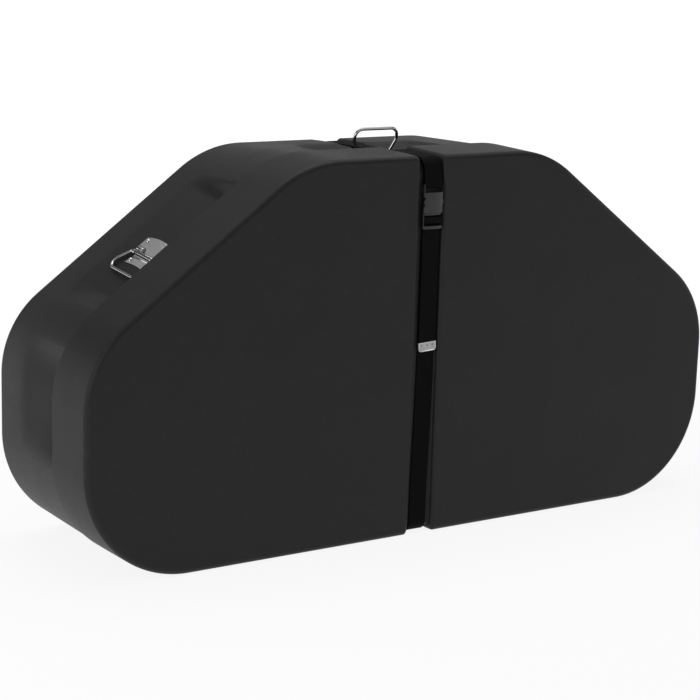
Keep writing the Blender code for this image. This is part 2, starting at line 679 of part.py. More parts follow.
def make_plug(plastic):
    half = BUCKLE_WIDTH / 2
    x = WEBBING_OFFSET
    bm = bmesh.new()
    rounded_box(bm, Vector((x - half, BUCKLE_FRONT_Y, PLUG_LOW_Z)),
                Vector((x + half, BUCKLE_BACK_Y, PLUG_TOP_Z)))
    plug = add_object("buckle_plug", bm, plastic)
    # The guide that runs up the middle of the socket
    bm = bmesh.new()
    guide_wall = SOCKET_WALL + GUIDE_CLEARANCE
    box(bm, Vector((x - GUIDE_WIDTH / 2, BUCKLE_FRONT_Y + guide_wall, PLUG_TOP_Z - OVERLAP)),
        Vector((x + GUIDE_WIDTH / 2, BUCKLE_BACK_Y - guide_wall, PLUG_TOP_Z + GUIDE_LENGTH)))
    cut(plug, add_object("plug_guide", bm, cutter=True), "UNION")
    bm = bmesh.new()
    slot = WEBBING_WIDTH / 2 + SLOT_CLEARANCE
    front, back = BUCKLE_FRONT_Y - OVERCUT, BUCKLE_BACK_Y + OVERCUT
    # In front of the crossbar, over the bar, between the bar and the rim, in front of the bar and
    # behind the rim
    box(bm, Vector((x - slot, front, BAR_TOP_Z + LADDER_SLOT - OVERLAP)),
        Vector((x + slot, BUCKLE_FRONT_Y + CROSSBAR_RECESS, PLUG_TOP_Z + OVERCUT)))
    box(bm, Vector((x - slot, front, BAR_TOP_Z)), Vector((x + slot, back, BAR_TOP_Z + LADDER_SLOT)))
    box(bm, Vector((x - slot, front, RIM_TOP_Z)), Vector((x + slot, back, BAR_LOW_Z)))
    box(bm, Vector((x - slot, front, BAR_LOW_Z - OVERLAP)),
        Vector((x + slot, BAR_FRONT_Y, BAR_TOP_Z + OVERLAP)))
    box(bm, Vector((x - slot, RIM_BACK_Y, PLUG_LOW_Z - OVERCUT)),
        Vector((x + slot, back, RIM_TOP_Z + OVERLAP)))
    cut(plug, add_object("plug_slot_cutter", bm, cutter=True))


def make_prong(side, plastic, window_z):
    """A springy arm of the plug, with the barb that stands in the socket's window."""
    name = "buckle_prong_left" if side < 0 else "buckle_prong_right"
    inner = BUCKLE_WIDTH / 2 - SOCKET_SIDE_WALL
    outer = inner - PRONG_CLEARANCE
    root_z = PLUG_TOP_Z + FIT
    tip_z = root_z + PRONG_LENGTH
    barb_low = window_z - PRONG_BARB_LENGTH / 2 - PRONG_BARB
    barb_high = barb_low + PRONG_BARB_LENGTH
    outline = [(outer - PRONG_WIDTH, root_z + PRONG_CHAMFER), (outer - PRONG_WIDTH + PRONG_CHAMFER, root_z),
               (outer - PRONG_CHAMFER, root_z), (outer, root_z + PRONG_CHAMFER), (outer, barb_low),
               (outer + PRONG_BARB, barb_low + PRONG_BARB / 2), (outer + PRONG_BARB, barb_high),
               (outer - PRONG_WIDTH / 4, tip_z - PRONG_WIDTH / 3), (outer - PRONG_WIDTH / 2, tip_z),
               (outer - PRONG_WIDTH, tip_z - PRONG_WIDTH / 2)]
    outline = [(WEBBING_OFFSET + side * x, z) for x, z in outline]
    bm = bmesh.new()
    middle_y = (BUCKLE_FRONT_Y + BUCKLE_BACK_Y) / 2
    prism(bm, outline, Matrix.Rotation(pi / 2, 4, "X"), -middle_y - PRONG_THICKNESS / 2,
          -middle_y + PRONG_THICKNESS / 2)
    prong = add_object(name, bm, plastic)
    # The arm bends at its root, where it leaves the plug
    pivot = Vector((WEBBING_OFFSET + side * (outer - PRONG_WIDTH / 2), middle_y, root_z))
    set_origin(prong, pivot)
    return pivot


def set_origin(made, place):
    made.data.transform(Matrix.Translation(-place))
    made.location = place


# The handles

def handle_frame(kind):
    """A handle's own axes: X along its barrel, Y towards its upper wing, Z out of the case."""
    floor = base_inset(POCKET_BACK_Y) + tan(POCKET_TILT) * (POCKET_BACK_Y - HANDLE_Y)
    if kind == "top":
        point, out, along = Vector((0, HANDLE_Y, CASE_HEIGHT)), Vector((0, 0, 1)), Vector((0, 1, 0))
    else:
        side = -1 if kind == "left" else 1
        up = Vector((-side * cos(SLOPE_ANGLE), 0, sin(SLOPE_ANGLE)))
        out = Vector((side * sin(SLOPE_ANGLE), 0, cos(SLOPE_ANGLE)))
        point = Vector((side * CASE_WIDTH / 2, HANDLE_Y, END_HEIGHT)) + up * SIDE_HANDLE_ALONG
    point = point - out * (floor - FIT)
    normal = out * cos(POCKET_TILT) - Vector((0, 1, 0)) * sin(POCKET_TILT)
    back = out * sin(POCKET_TILT) + Vector((0, 1, 0)) * cos(POCKET_TILT)
    upper = back if kind == "top" else up
    barrel = upper.cross(normal)
    frame = Matrix((barrel, upper, normal)).transposed().to_4x4()
    frame.translation = point
    return frame


AXLE_HEIGHT = BAIL_WIRE_RADIUS + BARREL_CLEARANCE + FIT


def wing(length, root, root_width, width, crown, direction):
    """A plate wing's outline, from the barrel out to its end, which bows out where the crown is positive."""
    half = width / 2
    end = []
    for k in range(WING_STEPS + 1):
        x = half - width * k / WING_STEPS
        end.append((x, length - crown * (x / half) ** 2))
    points = [(-root_width / 2, root), (root_width / 2, root)] + end
    return [(x, direction * y) for x, y in points]


def rivet_places():
    upper_x = UPPER_WING_WIDTH / 2 - RIVET_INSET
    lower_x = LOWER_WING_WIDTH / 2 - RIVET_INSET
    upper_y = UPPER_WING_LENGTH - UPPER_WING_CROWN - RIVET_INSET
    lower_y = LOWER_WING_LENGTH - RIVET_INSET
    return [(-upper_x, upper_y), (upper_x, upper_y), (-lower_x, -lower_y), (lower_x, -lower_y)]


def baked(made):
    """An object's mesh with its Booleans applied. The object and its cutters go."""
    graph = bpy.context.evaluated_depsgraph_get()
    mesh = bpy.data.meshes.new_from_object(made.evaluated_get(graph))
    cutters = [modifier.object for modifier in made.modifiers]
    for old in [made] + cutters:
        bpy.data.objects.remove(old)
    return mesh


def plate_mesh(steel):
    """Two wings and the half-round barrel that holds the bail down, pressed from one sheet."""
    flat = Matrix.Identity(4)
    bore = BAIL_WIRE_RADIUS + BARREL_CLEARANCE
    outer = bore + PLATE_THICKNESS
    bm = bmesh.new()
    upper = wing(UPPER_WING_LENGTH, bore, UPPER_WING_WIDTH, UPPER_WING_WIDTH, UPPER_WING_CROWN, 1)
    lower = wing(LOWER_WING_LENGTH, bore, LOWER_WING_WAIST, LOWER_WING_WIDTH, -LOWER_WING_HOLLOW, -1)
    for outline in (upper, lower):
        prism(bm, outline, flat, 0.0, PLATE_THICKNESS)
    plate = add_object("plate", bm, steel)
    bm = bmesh.new()
    along = Matrix(((0, 0, 1, 0), (1, 0, 0, 0), (0, 1, 0, 0), (0, 0, 0, 1)))
    prism(bm, [(outer, 0.0)] + arch(outer) + [(-outer, 0.0)], along, -BARREL_LENGTH / 2, BARREL_LENGTH / 2)
    cut(plate, add_object("barrel", bm, cutter=True), "UNION")
    bm = bmesh.new()
    reach = UPPER_WING_WIDTH
    prism(bm, [(bore, -OVERLAP)] + arch(bore) + [(-bore, -OVERLAP)], along, -reach, reach)
    # The wings are cut back beside the barrel, where the bail's legs turn
    back = outer + LEG_CLEARANCE
    for side in (-1, 1):
        near, far = sorted((side * BARREL_LENGTH / 2, side * reach))
        prism(bm, [(near, -back), (far, -back), (far, back), (near, back)], flat, -OVERLAP, 2 * outer)
    for x, y in rivet_places():
        prism(bm, ring_points(x, y, RIVET_SHANK_RADIUS + FIT), flat, -OVERLAP, PLATE_THICKNESS + OVERLAP)
    cut(plate, add_object("plate_cutter", bm, cutter=True))
    return baked(plate)


def arch(radius):
    """The upper half of a circle about the bail's axle, in steps."""
    turns = [pi * k / ARCH_STEPS for k in range(ARCH_STEPS + 1)]
    return [(radius * cos(a), AXLE_HEIGHT + radius * sin(a)) for a in turns]


def ring_points(x, y, radius):
    turns = [2 * pi * k / RIVET_SIDES for k in range(RIVET_SIDES)]
    return [(x + radius * cos(a), y + radius * sin(a)) for a in turns]


def bail_track():
    """The bail's wire from the middle of its axle out and round to the middle of its crossbar."""
    foot, shoulder = BAIL_FOOT_WIDTH / 2, BAIL_SHOULDER_WIDTH / 2
    corners = [(0, 0), (foot, 0), (shoulder, BAIL_LENGTH - BAIL_SHOULDER_DROP), (shoulder, BAIL_LENGTH),
               (0, BAIL_LENGTH)]
    return Track(corners, [BAIL_FOOT_RADIUS, BAIL_SHOULDER_RADIUS, BAIL_CORNER_RADIUS])


def bail_mesh(steel):
    """A closed loop of wire, bent from one rod, with its axle on its own X."""
    track = bail_track()
    half = [track.at(distance) for distance in track.samples(CORNER_STEP)]
    mirrored = [(Vector((-point.x, point.y)), Vector((-normal.x, normal.y))) for point, normal in half[1:-1]]
    bm = bmesh.new()
    rings = []
    for point, normal in half + mirrored[::-1]:
        ring = []
        for k in range(WIRE_SIDES):
            a = 2 * pi * k / WIRE_SIDES
            place = point + normal * (BAIL_WIRE_RADIUS * cos(a))
            ring.append(bm.verts.new((place.x, place.y, BAIL_WIRE_RADIUS * sin(a))))
        rings.append(ring)
    join_round(bm, rings)
    return baked(add_object("bail", bm, steel))


def join_round(bm, rings):
    """Skin rings of vertices into a closed ring."""
    for near, far in zip(rings, rings[1:] + rings[:1]):
        for i in range(len(near)):
            following = (i + 1) % len(near)
            bm.faces.new((near[i], near[following], far[following], far[i]))


def rivet_mesh(steel):
    """A domed rivet through the plate and the shell, set over a washer inside."""
    bm = bmesh.new()
    set_low = -FIT - WALL - 2 * FIT - WASHER_THICKNESS
    head_low = PLATE_THICKNESS + FIT
    profile = [(RIVET_SET_RADIUS, set_low - RIVET_SET_HEIGHT), (RIVET_SET_RADIUS, set_low),
               (RIVET_SHANK_RADIUS, set_low), (RIVET_SHANK_RADIUS, head_low), (RIVET_HEAD_RADIUS, head_low)]
    for a in RIVET_DOME:
        profile.append((RIVET_HEAD_RADIUS * cos(a), head_low + RIVET_HEAD_HEIGHT * sin(a)))
    skin(bm, [[(x, y, height) for x, y in ring_points(0, 0, radius)] for radius, height in profile])
    return baked(add_object("rivet", bm, steel))


def washer_mesh(steel):
    bm = bmesh.new()
    high = -FIT - WALL - FIT
    low = high - WASHER_THICKNESS
    hole = RIVET_SHANK_RADIUS + FIT
    rings = []
    for radius, height in ((hole, low), (WASHER_RADIUS, low), (WASHER_RADIUS, high), (hole, high)):
        rings.append([bm.verts.new((x, y, height)) for x, y in ring_points(0, 0, radius)])
    join_round(bm, rings)
    return baked(add_object("washer", bm, steel))


def place_copy(name, mesh, matrix):
    made = bpy.data.objects.new(name, mesh)
    bpy.context.scene.collection.objects.link(made)
    made.matrix_world = matrix


def make_handles(base, steel, dull):
    """Three alike: on top, its bail leaning to the front, and on each slope, its bail folded down it."""
    plate, bail = plate_mesh(steel), bail_mesh(steel)
    rivet, washer = rivet_mesh(steel), washer_mesh(dull)
    for kind in ("top", "left", "right"):
        frame = handle_frame(kind)
        rest = pi / 2 + TOP_BAIL_LEAN - POCKET_TILT if kind == "top" else pi - SIDE_BAIL_REST
        place_copy(f"{kind}_handle_plate", plate, frame)
        place_copy(f"{kind}_handle_bail", bail,
                   frame @ Matrix.Translation((0, 0, AXLE_HEIGHT)) @ Matrix.Rotation(rest, 4, "X"))
        holes = bmesh.new()
        for number, (x, y) in enumerate(rivet_places(), 1):
            seat = frame @ Matrix.Translation((x, y, 0))
            place_copy(f"{kind}_handle_rivet_{number}", rivet, seat)
            place_copy(f"{kind}_handle_washer_{number}", washer, seat)
            prism(holes, ring_points(x, y, RIVET_SHANK_RADIUS + FIT), frame, -OVERCUT, OVERCUT / 2)
        cut(base, add_object(f"{kind}_rivet_hole_cutter", holes, cutter=True))


def main():
    for old in list(bpy.data.objects):
        bpy.data.objects.remove(old)
    moulded = material("moulded_polyethylene", (0.028, 0.028, 0.029), 0.42)
    nylon = material("webbing_black", (0.008, 0.008, 0.008), 0.85)
    acetal = material("buckle_plastic", (0.03, 0.03, 0.031), 0.35)
    chrome = material("chrome_plated_steel", (0.75, 0.75, 0.76), 0.12, 1.0)
    tin = material("tip_steel", (0.55, 0.55, 0.56), 0.35, 1.0)
    zinc = material("zinc_washer", (0.5, 0.5, 0.5), 0.5, 1.0)
    foam = material("grey_foam", (0.12, 0.12, 0.12), 0.95)
    base = make_base(moulded)
    make_lid(moulded)
    make_foam("base_foam", foam, BACK_Y - WALL, -1, base_inset)
    make_foam("lid_foam", foam, FRONT_Y + WALL, 1, lid_inset)
    tip_top = make_webbing(nylon)
    make_tip(tin, tip_top)
    window_z = make_socket(acetal)
    make_plug(acetal)
    for side in (-1, 1):
        make_prong(side, acetal, window_z)
    make_handles(base, chrome, zinc)


main()
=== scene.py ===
# A marching drum case: two moulded polyethylene shells that push together, a webbing strap with a
# side-release buckle in a channel round them, and three wire handles on riveted plates.
from math import atan2, cos, hypot, pi, radians, sin, tan

import bmesh
import bpy
from mathutils import Matrix, Vector


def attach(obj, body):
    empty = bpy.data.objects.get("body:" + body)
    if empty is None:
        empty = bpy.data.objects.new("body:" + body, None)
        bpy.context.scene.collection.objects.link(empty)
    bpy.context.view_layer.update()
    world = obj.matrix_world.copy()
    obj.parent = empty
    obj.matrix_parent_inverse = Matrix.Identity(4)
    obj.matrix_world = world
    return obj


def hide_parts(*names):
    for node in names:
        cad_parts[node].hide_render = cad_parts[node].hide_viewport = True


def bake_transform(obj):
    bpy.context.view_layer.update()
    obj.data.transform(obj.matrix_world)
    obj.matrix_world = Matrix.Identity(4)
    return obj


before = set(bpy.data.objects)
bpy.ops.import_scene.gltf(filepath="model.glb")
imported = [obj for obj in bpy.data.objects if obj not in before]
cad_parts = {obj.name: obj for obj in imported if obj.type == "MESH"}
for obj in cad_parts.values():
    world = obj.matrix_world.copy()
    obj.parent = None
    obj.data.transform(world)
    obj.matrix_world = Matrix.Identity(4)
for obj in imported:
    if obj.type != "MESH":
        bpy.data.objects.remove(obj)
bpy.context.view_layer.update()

# The base shell: rotationally moulded black polyethylene, 4 mm thick, tapering to the back. Its mouth
# is a tongue that stands inside the lid, and behind the seam its ends, slopes and top are pressed in
# for the handles and for the hands that pull the lid off.
case_width, case_height, case_depth = 1.282, 0.660, 0.343
end_height, top_width = 0.3686, 0.495
bottom_radius, side_radius, top_radius = 0.186, 0.173, 0.204
wall = 0.004
edge_radius, lip_radius = 0.010, 0.0011
lid_flare, base_taper = 0.003, 0.005
front_y, back_y = -case_depth / 2, case_depth / 2
lid_depth, tongue_length, pocket_length = 0.1165, 0.045, 0.140
seam_y = front_y + lid_depth
lip_gap, tongue_gap = 0.0005, 0.001
tongue_y = seam_y - tongue_length
tongue_inset = wall + tongue_gap
slope_angle = atan2(case_height - end_height, (case_width - top_width) / 2)
pocket_tilt = radians(10.5)
pocket_back_y = seam_y + pocket_length
channel_width, channel_depth, channel_corner = 0.043, 0.0095, 0.030
lid_top_bend, lid_low_bend = 0.024, 0.014
foot_radius, rim_radius = 0.003, 0.0105
weld, overcut = 1e-6, 0.01


def quarter_turn(count):
    """Angles that divide a quarter of a circle into equal steps, both its ends among them."""
    return [pi / 2 * k / count for k in range(count + 1)]


def follow(corners, radii, turn=radians(3), run=1.0, marks=()):
    """Stops along straights and rounded bends in a plane: (place, normal to the right, distance).
    Each mark is a distance that gets a stop of its own."""

    def steps(span, count):
        own = {mark - gone for mark in marks if least < mark - gone < span}
        return sorted({span * k / count for k in range(count)} | own)

    corners = [Vector(corner) for corner in corners]
    stops, start, gone, least = [], corners[0], 0.0, 0.001
    for i in range(1, len(corners)):
        into = (corners[i] - corners[i - 1]).normalized()
        right = Vector((into.y, -into.x))
        angle = reach = radius = 0.0
        if i < len(corners) - 1:
            out = (corners[i + 1] - corners[i]).normalized()
            angle = atan2(into.x * out.y - into.y * out.x, into.dot(out))
            radius = radii[i - 1]
            reach = radius * tan(abs(angle) / 2)
        end = corners[i] - into * reach
        length = (end - start).length
        for along in steps(length, max(1, round(length / run))):
            stops.append((start + into * along, right, gone + along))
        gone += length
        if not angle:
            break
        left = 1 if angle > 0 else -1
        centre = end - right * (left * radius)
        arc = radius * abs(angle)
        for along in steps(arc, max(2, round(abs(angle) / turn))):
            normal = Matrix.Rotation(angle * along / arc, 2) @ right
            stops.append((centre + normal * (left * radius), normal, gone + along))
        gone += arc
        start = corners[i] + out * reach
    return stops + [(corners[-1], right, gone)]


bends = [radians(90), radians(90) - slope_angle, slope_angle]
bottom_arc = case_width / 2 - bottom_radius * tan(bends[0] / 2)
end_line = bottom_arc + bottom_radius * bends[0]
side_arc = end_line + end_height - bottom_radius * tan(bends[0] / 2) - side_radius * tan(bends[1] / 2)
slope_line = side_arc + side_radius * bends[1]
slope_length = hypot(case_height - end_height, (case_width - top_width) / 2)
top_arc = slope_line + slope_length - side_radius * tan(bends[1] / 2) - top_radius * tan(bends[2] / 2)
outline_length = top_arc + top_radius * bends[2] + top_width / 2 - top_radius * tan(bends[2] / 2)
# Where each pocket starts and ends along the outline, and the lengths of its two ramps
end_pocket = (end_line - 0.020, side_arc + 0.094, 0.070, 0.062)
slope_pocket = (slope_line + 0.005, top_arc - 0.005, 0.050, 0.034)
top_pocket = (outline_length - 0.135, outline_length + 0.135, 0.034, 0.034)
pockets = [end_pocket, slope_pocket, top_pocket]
ramp_edge, ramp_steps, ramp_marks = 0.3, 10, set()
for start, end, first_ramp, last_ramp in pockets:
    for share in (k / ramp_steps for k in range(ramp_steps + 1)):
        ramp_marks |= {start + first_ramp * share, end - last_ramp * share}
case_outline = follow(
    [(0, 0), (case_width / 2, 0), (case_width / 2, end_height), (top_width / 2, case_height),
     (0, case_height)], [bottom_radius, side_radius, top_radius], run=0.05, marks=ramp_marks)


def pocket_share(gone):
    """The share of a pocket's depth at a distance along the outline. Both ends of a ramp are rounded."""
    share = 0.0
    for start, end, first_ramp, last_ramp in pockets:
        inside = max(0.0, min((gone - start) / first_ramp, (end - gone) / last_ramp, 1.0))
        eased = inside ** 2 / (2 * ramp_edge) if inside < ramp_edge else inside - ramp_edge / 2
        share = max(share, sin(eased / (1 - ramp_edge / 2) * pi / 2))
    return share


def lid_inset(y):
    """How far the lid's outside lies inside the outline at y. It is below zero, as the lid flares."""
    return -lid_flare * (y - front_y) / (seam_y - front_y)


def base_inset(y):
    """The same for the base behind the seam, which starts at the tongue and tapers to the back."""
    return lid_inset(seam_y) + tongue_inset + base_taper * (y - seam_y) / (back_y - seam_y)


def pocket_depth(y):
    """How deep the pockets' floors lie under the base's outside at y."""
    floor = base_inset(pocket_back_y) + tan(pocket_tilt) * (pocket_back_y - y)
    return max(0.0, floor - base_inset(y))


def outline_points(y, side, bottom, pocket=0.0):
    """The case's outline at y, moved in by side, by bottom on the floor, and by pocket in the pockets."""
    half = []
    for place, normal, gone in case_outline:
        floor_share = min(1.0, max(0.0, (end_line - gone) / (end_line - bottom_arc)))
        inward = side + (bottom - side) * floor_share + pocket * pocket_share(gone)
        place = place - normal * inward
        half.append(Vector((place.x, y, place.y)))
    return half + [Vector((-x, y, z)) for x, y, z in reversed(half[1:-1])]


def drawn(rows, caps=True, loop=False):
    """A skin drawn by extruding a closed section's edges from one row of points to the next."""
    bm = bmesh.new()
    number, line = bm.verts.layers.int.new("number"), bm.verts.layers.int.new("row")
    ring = [bm.verts.new(point) for point in rows[0]]
    for i, vert in enumerate(ring):
        vert[number] = i
    edges = [bm.edges.new((ring[i - 1], ring[i])) for i in range(len(ring))]
    if caps:
        bmesh.ops.edgeloop_fill(bm, edges=edges)
    for count, row in enumerate(rows[1:], 1):
        made = bmesh.ops.extrude_edge_only(bm, edges=edges)["geom"]
        new = {item for item in made if isinstance(item, bmesh.types.BMVert)}
        for vert in new:
            vert.co = row[vert[number]]
            vert[line] = count
        edges = [item for item in made if isinstance(item, bmesh.types.BMEdge) and set(item.verts) <= new]
    if loop:
        first = [edge for edge in bm.edges if edge.is_boundary and edge not in edges]
        bmesh.ops.bridge_loops(bm, edges=first + edges)
    elif caps:
        bmesh.ops.edgeloop_fill(bm, edges=edges)
    bmesh.ops.recalc_face_normals(bm, faces=bm.faces)
    return bm


def carved(solid, cuts):
    """A solid's mesh with others cut out of it, or joined to it, by exact Booleans."""
    made = []
    for bm, operation in [(solid, None)] + cuts:
        bmesh.ops.triangulate(bm, faces=[face for face in bm.faces if len(face.verts) == 4])
        mesh = bpy.data.meshes.new("blank")
        bm.to_mesh(mesh)
        bm.free()
        made.append(bpy.data.objects.new("blank", mesh))
        bpy.context.scene.collection.objects.link(made[-1])
        if operation:
            cutter = made[0].modifiers.new("cut", "BOOLEAN")
            cutter.operation, cutter.solver, cutter.use_self = operation, "EXACT", True
            cutter.object = made[-1]
    graph = bpy.context.evaluated_depsgraph_get()
    mesh = bpy.data.meshes.new_from_object(made[0].evaluated_get(graph))
    for item in made:
        bpy.data.objects.remove(item)
    return mesh


def bmesh_of(mesh):
    bm = bmesh.new()
    bm.from_mesh(mesh)
    return bm


def channel_track():
    """The strap's bed round the case in the plane of Y and Z, as a loop from the middle of the back."""
    front, back = front_y + channel_depth, back_y - channel_depth
    low, middle, high = channel_depth, case_height / 2, case_height - channel_depth
    corners = [(back, middle), (back, high), (front, high), (front, low), (back, low), (back, middle)]
    return follow(corners, [channel_corner, lid_top_bend, lid_low_bend, channel_corner],
                  turn=radians(5), run=0.05)


def skin_distance(place, normal, inset):
    """Distance from the bed to the shell's outside in the middle plane, found by halving."""
    near, far, halvings = 0.0, 0.08, 20
    for _ in range(halvings):
        middle = (near + far) / 2
        y, z = place + normal * middle
        over_y = abs(y) - (back_y - edge_radius)
        over_z = max(z - (case_height - inset(y) - edge_radius), edge_radius - z)
        over = hypot(over_y, over_z) if min(over_y, over_z) > 0 else max(over_y, over_z)
        near, far = (middle, far) if over < edge_radius else (near, middle)
    return near


def channel_section(place, normal, depth, grow):
    """The channel's section, from its rounded foot to its rolled rim and above it."""
    past_skin, over_rim, above = 0.0008, 0.0001, 0.02
    height = depth + past_skin
    squash = min(1.0, height / (foot_radius + rim_radius))
    half = channel_width / 2 + grow
    turns = quarter_turn(8)
    side = [(half + foot_radius * sin(a), foot_radius * squash * (1 - cos(a))) for a in turns]
    side += [(half + foot_radius + rim_radius * (1 - cos(a)),
              height - rim_radius * squash * (1 - sin(a)) + over_rim) for a in turns]
    side.append((half + foot_radius + rim_radius, height + above))
    ring = side + [(-x, up) for x, up in reversed(side)]
    return [Vector((x, *(place + normal * (up - grow)))) for x, up in ring]


def channel_loop(grow, inset):
    stops = channel_track()[:-1]
    return drawn([channel_section(place, normal, skin_distance(place, normal, inset), grow)
                  for place, normal, gone in stops], caps=False, loop=True)


def channel_bar(grow, y_from, y_to, up):
    """The bed's deeper run along the tongue, over or under the case."""
    level = case_height - channel_depth if up > 0 else channel_depth
    rows = []
    for y in (y_from, y_to):
        depth = channel_depth - (lid_inset(y) if up > 0 else 0.0)
        rows.append(channel_section(Vector((y, level)), Vector((0, up)), depth, grow))
    return drawn(rows)


def rounding(y_end, direction, inset, radius, bottom):
    """Rows of a rounded edge from the side to the flat face that ends at y_end."""
    rows = []
    for a in quarter_turn(8):
        y, inward = y_end - direction * radius * (1 - sin(a)), radius * (1 - cos(a))
        rows.append(outline_points(y, inset(y) + inward, bottom + inward))
    return rows


def pocket_rows(start_y, extra, bottom):
    """Rows behind the seam: along the pockets' sloping floors to where they run out."""
    count = 8
    stops = [start_y + (pocket_back_y - start_y) * k / count for k in range(count + 1)]
    return [outline_points(y, base_inset(y) + extra, bottom, pocket_depth(y)) for y in stops]


step = 0.001
body_y = seam_y + step
y = tongue_y
rows = [outline_points(y, lid_inset(y) + tongue_inset + lip_radius, tongue_inset + lip_radius)]
for k in (1, 2, 3):
    a = pi / 6 * k
    y = tongue_y + lip_radius * (1 - cos(a))
    inward = lip_radius * (1 - sin(a))
    rows.append(outline_points(y, lid_inset(y) + tongue_inset + inward, tongue_inset + inward))
rows.append(outline_points(seam_y, lid_inset(seam_y) + tongue_inset, tongue_inset))
rows += pocket_rows(body_y, 0.0, 0.0)
rows += rounding(back_y, 1, base_inset, edge_radius, 0.0)
base_solid = drawn(rows)
inner = tongue_inset + wall
mouth_y, wall_y, floor_y = tongue_y - overcut, seam_y - wall, seam_y + wall
rows = [outline_points(y, lid_inset(y) + inner, inner) for y in (mouth_y, wall_y)]
y = wall_y + step
rows.append(outline_points(y, lid_inset(y) + inner, inner, pocket_depth(y)))
rows.append(outline_points(floor_y, base_inset(floor_y) + wall, inner, pocket_depth(floor_y)))
rows += pocket_rows(floor_y + step, wall, wall)
rows += rounding(back_y - wall, 1, lambda y: base_inset(y) + wall, edge_radius - wall, wall)
hollow = carved(drawn(rows), [(channel_loop(wall, base_inset), "DIFFERENCE")] + [
    (channel_bar(inner, mouth_y - overcut, seam_y + wall, up), "DIFFERENCE") for up in (1, -1)])
base_mesh = carved(base_solid, [(channel_loop(0.0, base_inset), "DIFFERENCE")] + [
    (channel_bar(tongue_inset, tongue_y - overcut, seam_y + step / 2, up), "DIFFERENCE")
    for up in (1, -1)] + [(bmesh_of(hollow), "DIFFERENCE")])


class Value:
    """A socket whose sums are written with the usual signs."""

    def __init__(self, finish, socket):
        self.finish, self.socket = finish, socket

    def maths(self, operation, *others):
        return self.finish.node("ShaderNodeMath", {"operation": operation}, dict(enumerate(others)))

    def __add__(self, other):
        return self.maths("ADD", self, other)

    def __sub__(self, other):
        return self.maths("SUBTRACT", self, other)

    def __rsub__(self, other):
        return self.maths("SUBTRACT", other, self)

    def __mul__(self, other):
        return self.maths("MULTIPLY", self, other)

    def __pow__(self, other):
        return self.maths("POWER", self, other)

    __radd__, __rmul__ = __add__, __mul__

    def sine(self):
        return self.maths("SINE", self)

    def size(self):
        return self.maths("ABSOLUTE", self)

    def whole(self):
        return self.maths("FLOOR", self)


class Finish:
    """A material made of nodes round one Principled shader."""

    def __init__(self, name, **sockets):
        self.material = bpy.data.materials.new(name)
        self.material.use_nodes = True
        self.tree = self.material.node_tree
        self.shader = self.tree.nodes["Principled BSDF"]
        self.set(sockets)

    def node(self, kind, settings=None, sockets=None, out=0):
        made = self.tree.nodes.new(kind)
        for name, setting in (settings or {}).items():
            if name == "stops":
                for k, (place, shade) in enumerate(setting):
                    stop = made.color_ramp.elements[k] if k < 2 else made.color_ramp.elements.new(place)
                    stop.position, stop.color = place, (shade, shade, shade, 1)
            else:
                setattr(made, name, setting)
        self.fill(made, sockets or {})
        return Value(self, made.outputs[out])

    def fill(self, made, sockets):
        for name, value in sockets.items():
            socket = made.inputs[name]
            if isinstance(value, Value):
                self.tree.links.new(value.socket, socket)
            elif socket.type == "RGBA" and isinstance(value, (int, float)):
                socket.default_value = (value, value, value, 1)
            elif socket.type == "RGBA" and len(value) == 3:
                socket.default_value = (*value, 1)
            else:
                socket.default_value = value

    def set(self, sockets):
        self.fill(self.shader, {name.replace("_", " "): value for name, value in sockets.items()})

    def place(self):
        """Object coordinates, in metres in the case's own frame."""
        return self.node("ShaderNodeTexCoord", out=3)

    def bulge(self):
        """Blender's pointiness, which is over 0.5 along edges that stick out."""
        return self.node("ShaderNodeNewGeometry", out=7)

    def noise(self, at, scale, detail=2.0, roughness=0.5):
        return self.node("ShaderNodeTexNoise", {},
                         {"Vector": at, "Scale": scale, "Detail": detail, "Roughness": roughness})

    def ramp(self, value, *stops):
        return self.node("ShaderNodeValToRGB", {"stops": stops}, {"Fac": value})

    def mix(self, share, first, second):
        return self.node("ShaderNodeMix", {"data_type": "RGBA"}, {0: share, 6: first, 7: second}, out=2)

    def bump(self, height, distance, strength=1.0, normal=None):
        sockets = {"Height": height, "Distance": distance, "Strength": strength}
        if normal:
            sockets["Normal"] = normal
        return self.node("ShaderNodeBump", {}, sockets)


def moulded_plastic():
    """Black polyethylene with the fine grain of the mould and a slow unevenness from cooling."""
    finish = Finish("moulded_polyethylene", IOR=1.45, Specular_IOR_Level=0.30)
    at = finish.place()
    grain = finish.noise(at, 1400.0, 3.0, 0.6)
    mottle = finish.noise(at, 160.0, 3.0)
    slow = finish.noise(at, 7.0, 2.0)
    colour = finish.mix(finish.ramp(mottle * 0.5 + slow * 0.5, (0.35, 0.0), (0.65, 1.0)),
                        (0.0152, 0.0153, 0.0160), (0.0190, 0.0191, 0.0200))
    # Edges that stick out, and patches beside them, are painted a lighter olive: partly scuffs, partly a
    # painted highlight.
    scuffs_and_edge_highlight = finish.ramp(finish.noise(at, 60.0, 6.0, 0.7) * 0.5 + finish.bulge() * 0.5,
                        (0.54, 0.0), (0.62, 1.0))
    colour = finish.mix(scuffs_and_edge_highlight * 0.5, colour, (0.050, 0.047, 0.043))
    rough = finish.ramp(slow * 0.6 + mottle * 0.4, (0.3, 0.47), (0.7, 0.56))
    surface = finish.bump(slow, 0.006, 0.35)
    surface = finish.bump(mottle, 0.0006, 0.25, surface)
    surface = finish.bump(grain, 0.00012, 0.5, surface)
    finish.set({"Base Color": colour, "Roughness": rough + scuffs_and_edge_highlight * 0.15, "Normal": surface})
    return finish.material


